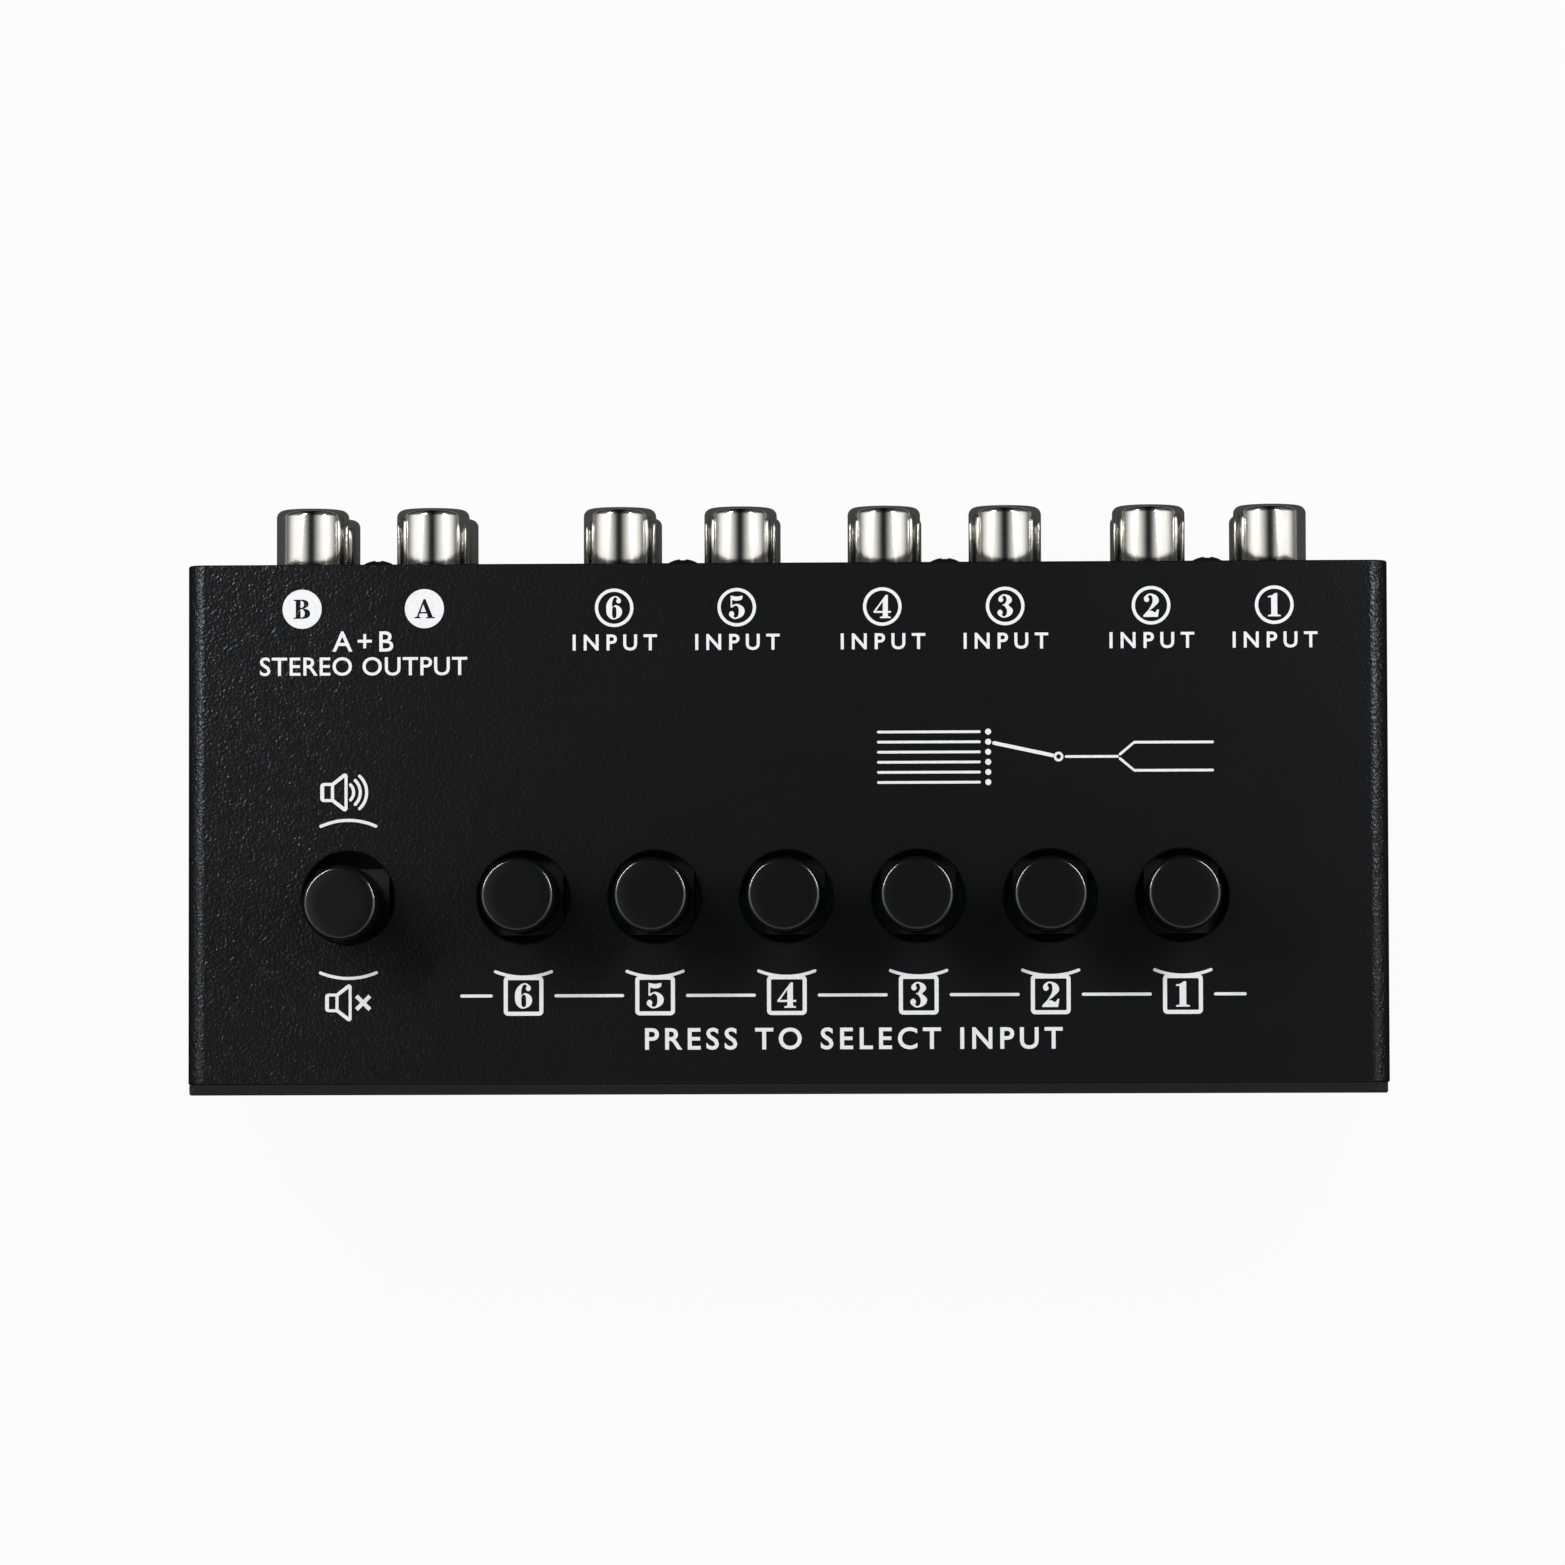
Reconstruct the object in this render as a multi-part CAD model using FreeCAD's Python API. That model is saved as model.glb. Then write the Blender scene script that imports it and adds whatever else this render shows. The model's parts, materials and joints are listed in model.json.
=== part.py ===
import FreeCAD, Part
import math
import os

from FreeCAD import Vector

# Audio source selector: a folded steel box with six stereo inputs and two stereo outputs.
# All sizes are in millimetres. +X is to the right as a user at the front sees it, +Y points
# to the rear, where the jacks are, and +Z is up. The origin lies under the middle of the
# whole object, on the surface that its feet stand on.

# Case
case_width = 137.0
case_height = 41.0
cover_depth = 59.4
sheet_thickness = 1.2
bend_outer_radius = 2.0
edge_rounding = 0.25
front_wall_inset = 0.3
front_wall_drop = 0.15
rear_overhang = 0.5
panel_gap = 0.2
tab_width = 12.0
tab_height = 9.0
tab_relief = 0.8
tab_screw_rise = 5.2
front_tab_setback = 12.0
rear_tab_setback = 14.0

# Feet
foot_height = 3.0
foot_radius = 4.5
foot_inset = 7.5
foot_taper = 0.3
foot_rounding = 0.6

# Screws: low heads hold the cover, taller ones the jacks and flatter ones the circuit boards
cover_screw_head_radius = 2.6
cover_screw_head_height = 1.7
cover_screw_head_rounding = 0.7
jack_screw_head_radius = 2.8
jack_screw_head_height = 2.4
jack_screw_head_rounding = 1.0
board_screw_head_radius = 2.75
board_screw_head_height = 2.0
board_screw_head_rounding = 0.5
case_screw_length = 5.0
board_screw_length = 6.0
screw_radius = 1.45
screw_hole_clearance = 0.05
through_hole_clearance = 0.25
cross_slot_width = 0.8
cross_slot_length = 2.8
cross_slot_depth = 1.0

# Circuit boards and what carries them
board_thickness = 1.6
board_side_gap = 0.6
main_board_front_gap = 3.0
main_board_rear_gap = 0.5
switch_board_depth = 22.0
spacer_height = 4.0
spacer_radius = 3.0
spacer_spigot_radius = 2.0
spigot_clearance = 0.05
pillar_across_flats = 5.0
pillar_inset = 5.5
pillar_spacing = 16.0
pillar_stud_length = 4.6
pillar_hole_depth = 6.0
rear_board_screw_setback = 17.0
header_pins = 16
header_pitch = 2.54
header_bar_width = 2.5
header_bar_height = 2.5
header_pin_width = 0.64
header_offset = 8.5
pin_tail = 1.0
pin_hole_clearance = 0.1

# Jack blocks, two by two, named from left to right. The outer two keep their distance from the
# case's sides and the others are spread between them, with a wider gap beside the outputs.
output_block_inset = 20.2
right_block_inset = 19.9
output_group_gap = 5.1
input_block_count = 3
jack_pitch = 14.0
lower_jack_rise = 7.6
block_width = 26.0
block_height = 28.0
block_depth = 11.0
block_chamfer = 0.6
peg_radius = 0.9
peg_spacing = 16.0
peg_setback = 8.5

# One jack: a metal shell round a coloured plastic insert with a contact tube inside
jack_reach = 8.9
shell_radius = 4.2
shell_wall = 0.4
shell_rim_radius = 0.9
shell_neck_step = 0.3
shell_seat_depth = 1.7
insert_seat_depth = 2.7
insert_clearance = 0.05
insert_recess = 0.3
pin_hole_radius = 1.75
pin_hole_length = 6.0
pin_hole_chamfer = 0.35
contact_hole_radius = 1.58
contact_wall = 0.35
contact_clearance = 0.05
contact_rod_radius = 0.5
contact_strip_width = 1.2
contact_strip_thickness = 0.4
contact_jog = 2.5
contact_pin_width = 0.8
strap_width = 9.6
strap_thickness = 0.4
strap_margin = 1.0
strap_lug_width = 1.6
strap_lug_setback = 1.7
panel_hole_clearance = 0.4

# Buttons and their switches. The outer two keep their distance from the case's sides and the
# others are spread between them, with a wider gap beside the mute button, whose switch is
# soldered in a little forward of its hole's middle.
mute_button_inset = 18.5
channel_one_inset = 23.5
mute_group_gap = 5.0
channel_count = 6
button_setback = 38.1
mute_switch_shift = 0.85
button_hole_radius = 5.25
cap_radius = 4.2
cap_length = 12.0
cap_rise = 11.0
cap_rounding = 0.35
cap_socket_depth = 5.0
cap_socket_clearance = 0.05
button_travel = 2.5
press_clearance = 1.2
switch_width = 8.5
switch_height = 7.0
switch_chamfer = 0.3
switch_wall = 0.8
plunger_width = 3.0
plunger_clearance = 0.2
flange_radius = 2.8
flange_thickness = 0.8
flange_clearance = 0.4
stop_gap = 0.1
guide_radius = 1.0
guide_end_gap = 0.2
spring_outer_radius = 2.4
spring_wire = 0.5
terminal_radius = 0.35
terminal_pitch = 2.5
terminal_row_spacing = 5.0

# How far a cutting tool reaches past the material that it cuts
overcut = 1.0

# The narrower neck that seats a shell in its block
neck_radius = shell_radius - shell_neck_step
neck_bore_radius = neck_radius - shell_wall

# Places along Y, from the front wall to the tips of the jacks
total_depth = cover_depth - rear_overhang + jack_reach
front_y = -total_depth / 2
cover_front_y = front_y + sheet_thickness
cover_rear_y = cover_front_y + cover_depth
rear_wall_y = cover_rear_y - rear_overhang
neck_top_y = rear_wall_y + shell_wall
block_face_y = rear_wall_y - sheet_thickness
block_back_y = block_face_y - block_depth
jack_tip_y = block_face_y + jack_reach
button_y = cover_rear_y - button_setback

# Heights, from the feet up
floor_z = foot_height
floor_top_z = floor_z + sheet_thickness
top_z = floor_z + case_height
main_board_z = floor_top_z + spacer_height
main_board_top_z = main_board_z + board_thickness
lower_jack_z = main_board_top_z + lower_jack_rise
upper_jack_z = lower_jack_z + jack_pitch
block_top_z = main_board_top_z + block_height
cap_bottom_z = top_z + cap_rise - cap_length
switch_top_z = cap_bottom_z - button_travel - press_clearance
switch_board_top_z = switch_top_z - switch_height
switch_board_z = switch_board_top_z - board_thickness

# Places along X
side_x = case_width / 2
tray_side_x = side_x - sheet_thickness - panel_gap
board_side_x = side_x - case_screw_length - board_side_gap
pillar_x = board_side_x - pillar_inset
output_block_x = -side_x + output_block_inset
right_block_x = side_x - right_block_inset
input_block_pitch = (right_block_x - output_block_x - output_group_gap) / input_block_count
mute_button_x = -side_x + mute_button_inset
channel_one_x = side_x - channel_one_inset
channel_pitch = (channel_one_x - mute_button_x - mute_group_gap) / channel_count

# The places of what repeats
tab_places = [
    (side, y)
    for side in (-1, 1)
    for y in (cover_front_y + front_tab_setback, cover_rear_y - rear_tab_setback)
]
foot_places = [
    (side * (side_x - foot_inset), y)
    for side in (-1, 1)
    for y in (cover_front_y + foot_inset, cover_rear_y - foot_inset)
]
pillar_places = [
    (side * pillar_x, button_y + end * pillar_spacing / 2) for side in (-1, 1) for end in (-1, 1)
]
rear_screw_places = [(side * pillar_x, block_face_y - rear_board_screw_setback) for side in (-1, 1)]
spacer_places = pillar_places + rear_screw_places
header_places = [
    ((i - (header_pins - 1) / 2) * header_pitch, button_y + header_offset) for i in range(header_pins)
]
blocks = {
    "outputs": output_block_x,
    "inputs_6_5": right_block_x - 2 * input_block_pitch,
    "inputs_4_3": right_block_x - input_block_pitch,
    "inputs_2_1": right_block_x,
}
button_holes = {"mute": mute_button_x}
for channel in range(channel_count, 0, -1):
    button_holes[f"channel_{channel}"] = channel_one_x - (channel - 1) * channel_pitch
buttons = {name: (x, button_y) for name, x in button_holes.items()}
buttons["mute"] = (mute_button_x, button_y - mute_switch_shift)
terminal_places = [
    (x + side * terminal_row_spacing / 2, y + row * terminal_pitch)
    for x, y in buttons.values()
    for side in (-1, 1)
    for row in (-1, 0, 1)
]


def box(x, y, z):
    """A block between the two values given for each direction."""
    low = Vector(min(x), min(y), min(z))
    return Part.makeBox(max(x) - low.x, max(y) - low.y, max(z) - low.z, low)


def rod_z(x, y, z, radius):
    """An upright cylinder between the two heights in z."""
    return Part.makeCylinder(radius, max(z) - min(z), Vector(x, y, min(z)), Vector(0, 0, 1))


def rod_y(x, z, y, radius):
    """A cylinder along Y between the two values in y."""
    return Part.makeCylinder(radius, max(y) - min(y), Vector(x, min(y), z), Vector(0, 1, 0))


def rounded_face(corners):
    """A flat face whose corners are (point, radius) pairs, each rounded with an arc."""
    edges = []
    ends = []
    for i, (corner, radius) in enumerate(corners):
        if radius == 0:
            ends.append((corner, corner))
            continue
        before = (corners[i - 1][0] - corner).normalize()
        after = (corners[(i + 1) % len(corners)][0] - corner).normalize()
        middle = (before + after).normalize()
        half_angle = before.getAngle(after) / 2
        cut = radius / math.tan(half_angle)
        nearest = radius / math.sin(half_angle) - radius
        start = corner + before * cut
        end = corner + after * cut
        edges.append(Part.Arc(start, corner + middle * nearest, end).toShape())
        ends.append((start, end))
    for i, (start, end) in enumerate(ends):
        edges.append(Part.LineSegment(ends[i - 1][1], start).toShape())
    return Part.Face(Part.Wire(Part.__sortEdges__(edges)))


def cut_all(shape, tools):
    """The shape with every tool cut out of it."""
    return shape.cut(Part.makeCompound(tools)) if tools else shape


def edges_of(shape, test):
    """The edges of a shape whose middle point passes a test."""
    return [edge for edge in shape.Edges if test(edge.CenterOfMass, edge)]


def close(a, b):
    """True where two coordinates are the same."""
    return abs(a - b) < 0.001


def screw(head_radius, head_height, head_rounding, length):
    """A pan-head screw standing on its tip: its seat is at z 0 and the head is above it."""
    head = rod_z(0, 0, (0, head_height), head_radius)
    crown = edges_of(head, lambda middle, edge: close(middle.z, head_height))
    head = head.makeFillet(min(head_rounding, head_height * 0.9), crown)
    slot_z = (head_height - cross_slot_depth, head_height)
    long_side = (-cross_slot_length / 2, cross_slot_length / 2)
    short_side = (-cross_slot_width / 2, cross_slot_width / 2)
    cross = box(long_side, short_side, slot_z).fuse(box(short_side, long_side, slot_z))
    return head.cut(cross).fuse(rod_z(0, 0, (-length, 0), screw_radius))


def placed(shape, position, direction):
    """A copy of a shape made along +Z, turned to point along a direction and moved."""
    turned = shape.copy()
    turned.Placement = FreeCAD.Placement(position, FreeCAD.Rotation(Vector(0, 0, 1), direction))
    return turned


def top_cover():
    """The top and both side walls, folded from one sheet, with a round hole for each button."""
    inner_radius = bend_outer_radius - sheet_thickness
    skirt_z = floor_z + panel_gap
    outline = []
    for x, z, radius in (
        (-side_x, skirt_z, 0),
        (-side_x, top_z, bend_outer_radius),
        (side_x, top_z, bend_outer_radius),
        (side_x, skirt_z, 0),
        (side_x - sheet_thickness, skirt_z, 0),
        (side_x - sheet_thickness, top_z - sheet_thickness, inner_radius),
        (-side_x + sheet_thickness, top_z - sheet_thickness, inner_radius),
        (-side_x + sheet_thickness, skirt_z, 0),
    ):
        outline.append((Vector(x, cover_front_y, z), radius))
    cover = rounded_face(outline).extrude(Vector(0, cover_depth, 0))
    cut_ends = edges_of(
        cover,
        lambda middle, edge: (close(middle.y, cover_rear_y) or close(middle.y, cover_front_y))
        and (middle.z > top_z - sheet_thickness / 2 or abs(middle.x) > side_x - sheet_thickness / 2),
    )
    cover = cover.makeFillet(edge_rounding, cut_ends)
    hole_z = (top_z - 2 * sheet_thickness, top_z + sheet_thickness)
    holes = [rod_z(x, button_y, hole_z, button_hole_radius) for x in button_holes.values()]
    for side, y in tab_places:
        start = Vector(side * (side_x - 2 * sheet_thickness), y, floor_top_z + tab_screw_rise)
        reach = Vector(side, 0, 0)
        radius = screw_radius + through_hole_clearance
        holes.append(Part.makeCylinder(radius, 3 * sheet_thickness, start, reach))
    cover = cut_all(cover, holes)
    mouths = edges_of(
        cover,
        lambda middle, edge: close(middle.z, top_z) and isinstance(edge.Curve, Part.Circle),
    )
    return cover.makeFillet(edge_rounding, mouths)


def side_tab(side, y):
    """A tab folded up from the floor's side edge, with a hole for a cover screw."""
    inner_radius = bend_outer_radius - sheet_thickness
    outer_x = side * tray_side_x
    inner_x = side * (tray_side_x - sheet_thickness)
    root_x = side * (tray_side_x - 2 * bend_outer_radius)
    tip_z = floor_top_z + tab_height
    outline = []
    for x, z, radius in (
        (root_x, floor_z, 0),
        (outer_x, floor_z, bend_outer_radius),
        (outer_x, tip_z, 0),
        (inner_x, tip_z, 0),
        (inner_x, floor_top_z, inner_radius),
        (root_x, floor_top_z, 0),
    ):
        outline.append((Vector(x, y - tab_width / 2, z), radius))
    tab = rounded_face(outline).extrude(Vector(0, tab_width, 0))
    hole_start = Vector(side * (tray_side_x - 2 * sheet_thickness), y, floor_top_z + tab_screw_rise)
    hole = Part.makeCylinder(
        screw_radius + screw_hole_clearance, 3 * sheet_thickness, hole_start, Vector(side, 0, 0)
    )
    return tab.cut(hole)


def base_tray():
    """The floor, front wall and rear wall, folded from one sheet, with four side tabs."""
    inner_radius = bend_outer_radius - sheet_thickness
    front_top_z = top_z - front_wall_drop
    rear_top_z = top_z - sheet_thickness - panel_gap
    outline = []
    for y, z, radius in (
        (front_y, floor_z, bend_outer_radius),
        (rear_wall_y, floor_z, bend_outer_radius),
        (rear_wall_y, rear_top_z, 0),
        (block_face_y, rear_top_z, 0),
        (block_face_y, floor_top_z, inner_radius),
        (front_y + sheet_thickness, floor_top_z, inner_radius),
        (front_y + sheet_thickness, front_top_z, 0),
        (front_y, front_top_z, 0),
    ):
        outline.append((Vector(-tray_side_x, y, z), radius))
    tray = rounded_face(outline).extrude(Vector(2 * tray_side_x, 0, 0))
    ear_x = side_x - front_wall_inset
    ears = box(
        (-ear_x, ear_x),
        (front_y, front_y + sheet_thickness),
        (floor_z + bend_outer_radius + tab_relief, front_top_z),
    )
    tray = tray.fuse(ears).removeSplitter()
    rim = edges_of(
        tray,
        lambda middle, edge: close(middle.y, front_y)
        and (close(middle.z, front_top_z) or close(abs(middle.x), ear_x)),
    )
    tray = tray.makeFillet(edge_rounding, rim)
    rear_corners = edges_of(
        tray,
        lambda middle, edge: close(middle.y, (rear_wall_y + block_face_y) / 2)
        and close(middle.z, rear_top_z)
        and close(abs(middle.x), tray_side_x),
    )
    tray = tray.makeFillet(inner_radius + panel_gap, rear_corners)
    notches = []
    for side, y in tab_places:
        half = tab_width / 2 + tab_relief
        notch_x = (side * (tray_side_x - bend_outer_radius), side * (tray_side_x + sheet_thickness))
        notches.append(box(notch_x, (y - half, y + half), (0, floor_top_z + sheet_thickness)))
    tray = cut_all(tray, notches)
    tray = tray.fuse([side_tab(side, y) for side, y in tab_places]).removeSplitter()
    holes = []
    for x, y in spacer_places:
        radius = spacer_spigot_radius + spigot_clearance
        holes.append(rod_z(x, y, (floor_z - overcut, floor_top_z + overcut), radius))
    wall_y = (block_face_y - sheet_thickness, rear_wall_y + sheet_thickness)
    for block_x in blocks.values():
        for x, z in jack_places(block_x):
            holes.append(rod_y(x, z, wall_y, shell_radius + panel_hole_clearance))
        screw_z = (lower_jack_z + upper_jack_z) / 2
        holes.append(rod_y(block_x, screw_z, wall_y, screw_radius + through_hole_clearance))
    return cut_all(tray, holes)


def rubber_feet():
    """Four round feet stuck under the corners of the floor."""
    feet = []
    for x, y in foot_places:
        foot = Part.makeCone(
            foot_radius - foot_taper, foot_radius, foot_height, Vector(x, y, 0), Vector(0, 0, 1)
        )
        sole = edges_of(foot, lambda middle, edge: close(middle.z, 0))
        feet.append(foot.makeFillet(min(foot_rounding, foot_height / 2), sole))
    return feet


def cover_screws():
    """Four screws through the cover's side walls into the tray's tabs."""
    fastener = screw(
        cover_screw_head_radius, cover_screw_head_height, cover_screw_head_rounding, case_screw_length
    )
    made = []
    for side, y in tab_places:
        seat = Vector(side * side_x, y, floor_top_z + tab_screw_rise)
        made.append(placed(fastener, seat, Vector(side, 0, 0)))
    return made


def jack_screws():
    """One screw through the rear wall into the middle of each jack block."""
    fastener = screw(
        jack_screw_head_radius, jack_screw_head_height, jack_screw_head_rounding, case_screw_length
    )
    made = []
    for block_x in blocks.values():
        seat = Vector(block_x, rear_wall_y, (lower_jack_z + upper_jack_z) / 2)
        made.append(placed(fastener, seat, Vector(0, 1, 0)))
    return made


def board_spacers():
    """Round spacers pressed into the floor, under the main board."""
    made = []
    for x, y in spacer_places:
        spacer = rod_z(x, y, (floor_top_z, main_board_z), spacer_radius)
        spacer = spacer.fuse(rod_z(x, y, (floor_z, floor_top_z), spacer_spigot_radius))
        hole_z = (floor_z - overcut, main_board_z + overcut)
        hole = rod_z(x, y, hole_z, screw_radius + screw_hole_clearance)
        made.append(spacer.cut(hole).removeSplitter())
    return made


def board_pillars():
    """Hexagonal pillars that carry the switch board above the main board."""
    made = []
    corner_radius = pillar_across_flats / 2 / math.cos(math.pi / 6)
    for x, y in pillar_places:
        corners = []
        for i in range(6):
            angle = i * math.pi / 3
            across = Vector(math.cos(angle), math.sin(angle), 0) * corner_radius
            corners.append((Vector(x, y, main_board_top_z) + across, 0))
        pillar = rounded_face(corners).extrude(Vector(0, 0, switch_board_z - main_board_top_z))
        stud_z = (main_board_top_z - pillar_stud_length, main_board_top_z)
        pillar = pillar.fuse(rod_z(x, y, stud_z, screw_radius))
        hole_z = (switch_board_z - pillar_hole_depth, switch_board_z + overcut)
        made.append(pillar.cut(rod_z(x, y, hole_z, screw_radius + screw_hole_clearance)))
    return made


def board_screws():
    """Six screws that hold the two boards down."""
    seats = [Vector(x, y, switch_board_top_z) for x, y in pillar_places]
    seats += [Vector(x, y, main_board_top_z) for x, y in rear_screw_places]
    made = []
    for seat in seats:
        one = screw(
            board_screw_head_radius, board_screw_head_height, board_screw_head_rounding, board_screw_length
        )
        made.append(placed(one, seat, Vector(0, 0, 1)))
    return made


def jack_places(block_x):
    """The axes of a block's four jacks as (x, z), upper row first."""
    return [(block_x + side * jack_pitch / 2, z) for z in (upper_jack_z, lower_jack_z) for side in (-1, 1)]


def contact_pin_places(block_x):
    """Where a block's contact and strap pins pass through the main board, as (x, y)."""
    strip_y = block_back_y - contact_strip_thickness / 2
    places = []
    for side in (-1, 1):
        x = block_x + side * jack_pitch / 2
        places.append((x, strip_y))
        places.append((x + contact_jog, strip_y))
        places.append((x, block_face_y - strap_lug_setback))
    return places


def peg_places(block_x):
    """Where a block's two locating pegs enter the main board, as (x, y)."""
    return [(block_x + side * peg_spacing / 2, block_face_y - peg_setback) for side in (-1, 1)]


def pin_hole(width, thickness):
    """The radius of a round board hole that clears the corners of a flat pin."""
    return math.hypot(width, thickness) / 2 + pin_hole_clearance


def main_board():
    """The circuit board on the floor's spacers, which carries the jack blocks."""
    board = box(
        (-board_side_x, board_side_x),
        (front_y + sheet_thickness + main_board_front_gap, block_face_y - main_board_rear_gap),
        (main_board_z, main_board_top_z),
    )
    through = (main_board_z - overcut, main_board_top_z + overcut)
    header_hole = pin_hole(header_pin_width, header_pin_width)
    contact_hole = pin_hole(contact_pin_width, contact_strip_thickness)
    holes = [rod_z(x, y, through, screw_radius + through_hole_clearance) for x, y in spacer_places]
    holes += [rod_z(x, y, through, header_hole) for x, y in header_places]
    for block_x in blocks.values():
        holes += [rod_z(x, y, through, contact_hole) for x, y in contact_pin_places(block_x)]
        peg_hole = peg_radius + pin_hole_clearance
        holes += [rod_z(x, y, through, peg_hole) for x, y in peg_places(block_x)]
    return cut_all(board, holes)


def switch_board():
    """The circuit board on the pillars, which carries the seven switches."""
    board = box(
        (-board_side_x, board_side_x),
        (button_y - switch_board_depth / 2, button_y + switch_board_depth / 2),
        (switch_board_z, switch_board_top_z),
    )
    through = (switch_board_z - overcut, switch_board_top_z + overcut)
    header_hole = pin_hole(header_pin_width, header_pin_width)
    terminal_hole = terminal_radius + pin_hole_clearance
    holes = [rod_z(x, y, through, screw_radius + through_hole_clearance) for x, y in pillar_places]
    holes += [rod_z(x, y, through, header_hole) for x, y in header_places]
    holes += [rod_z(x, y, through, terminal_hole) for x, y in terminal_places]
    return cut_all(board, holes)


def link_header():
    """A row of long pins that joins the two boards, held by a bar on each of them."""
    half_length = header_pins * header_pitch / 2
    y = button_y + header_offset
    bar_y = (y - header_bar_width / 2, y + header_bar_width / 2)
    header = box((-half_length, half_length), bar_y, (main_board_top_z, main_board_top_z + header_bar_height))
    upper_bar = box((-half_length, half_length), bar_y, (switch_board_z - header_bar_height, switch_board_z))
    half_pin = header_pin_width / 2
    pins = []
    for x, pin_y in header_places:
        pins.append(
            box(
                (x - half_pin, x + half_pin),
                (pin_y - half_pin, pin_y + half_pin),
                (main_board_z - pin_tail, switch_board_top_z + pin_tail),
            )
        )
    return header.fuse([upper_bar] + pins)


def jack_housing(block_x):
    """The moulded body that holds four jacks, with grooves for the ground straps."""
    body = box(
        (block_x - block_width / 2, block_x + block_width / 2),
        (block_back_y, block_face_y),
        (main_board_top_z, block_top_z),
    )
    back_edges = edges_of(
        body,
        lambda middle, edge: (close(middle.y, block_back_y) and middle.z > main_board_top_z + block_chamfer)
        or (close(middle.z, block_top_z) and abs(middle.x - block_x) > block_chamfer),
    )
    body = body.makeChamfer(block_chamfer, back_edges)
    peg_z = (main_board_z, main_board_top_z + overcut)
    body = body.fuse([rod_z(x, y, peg_z, peg_radius) for x, y in peg_places(block_x)])
    cuts = []
    strap_gap = contact_clearance
    for x, z in jack_places(block_x):
        seat_y = block_face_y - shell_seat_depth
        insert_y = block_face_y - insert_seat_depth
        cuts.append(rod_y(x, z, (seat_y, block_face_y + overcut), neck_radius + insert_clearance))
        cuts.append(rod_y(x, z, (insert_y, seat_y + overcut), neck_bore_radius))
        rod_hole = contact_rod_radius + contact_clearance
        cuts.append(rod_y(x, z, (block_back_y - overcut, insert_y + overcut), rod_hole))
    for side in (-1, 1):
        x = block_x + side * jack_pitch / 2
        half = strap_width / 2 + strap_gap
        groove_y = (block_face_y - strap_thickness - strap_gap, block_face_y + overcut)
        groove_top_z = upper_jack_z + shell_radius + strap_margin + strap_gap
        cuts.append(box((x - half, x + half), groove_y, (main_board_top_z - overcut, groove_top_z)))
        lug_half = strap_lug_width / 2 + strap_gap
        lug_y = (block_face_y - strap_lug_setback - contact_pin_width, block_face_y + overcut)
        lug_z = (main_board_top_z - overcut, main_board_top_z + 2 * strap_thickness + strap_gap)
        cuts.append(box((x - lug_half, x + lug_half), lug_y, lug_z))
    screw_z = (lower_jack_z + upper_jack_z) / 2
    screw_y = (rear_wall_y - case_screw_length - screw_hole_clearance, block_face_y + overcut)
    cuts.append(rod_y(block_x, screw_z, screw_y, screw_radius + screw_hole_clearance))
    return cut_all(body, cuts)


def jack_shell(x, z):
    """A drawn metal sleeve with its rim rolled inwards and a narrower neck for its seat."""
    root_y = block_face_y - shell_seat_depth
    inner = shell_radius - shell_wall
    lip = shell_radius - shell_rim_radius
    rim_y = jack_tip_y - shell_rim_radius
    inner_roll = shell_rim_radius - shell_wall
    slant = math.sqrt(0.5)

    def point(radius, y):
        return Vector(x + radius, y, z)

    outer_middle = point(lip + shell_rim_radius * slant, rim_y + shell_rim_radius * slant)
    inner_middle = point(lip + inner_roll * slant, rim_y + inner_roll * slant)
    edges = [
        Part.LineSegment(point(neck_radius, root_y), point(neck_radius, rear_wall_y)),
        Part.LineSegment(point(neck_radius, rear_wall_y), point(shell_radius, rear_wall_y)),
        Part.LineSegment(point(shell_radius, rear_wall_y), point(shell_radius, rim_y)),
        Part.Arc(point(shell_radius, rim_y), outer_middle, point(lip, jack_tip_y)),
        Part.LineSegment(point(lip, jack_tip_y), point(lip, jack_tip_y - shell_wall)),
        Part.Arc(point(lip, jack_tip_y - shell_wall), inner_middle, point(inner, rim_y)),
        Part.LineSegment(point(inner, rim_y), point(inner, neck_top_y)),
        Part.LineSegment(point(inner, neck_top_y), point(neck_bore_radius, neck_top_y)),
        Part.LineSegment(point(neck_bore_radius, neck_top_y), point(neck_bore_radius, root_y)),
        Part.LineSegment(point(neck_bore_radius, root_y), point(neck_radius, root_y)),
    ]
    profile = Part.Face(Part.Wire([edge.toShape() for edge in edges]))
    return profile.revolve(Vector(x, 0, z), Vector(0, 1, 0), 360)


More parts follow.
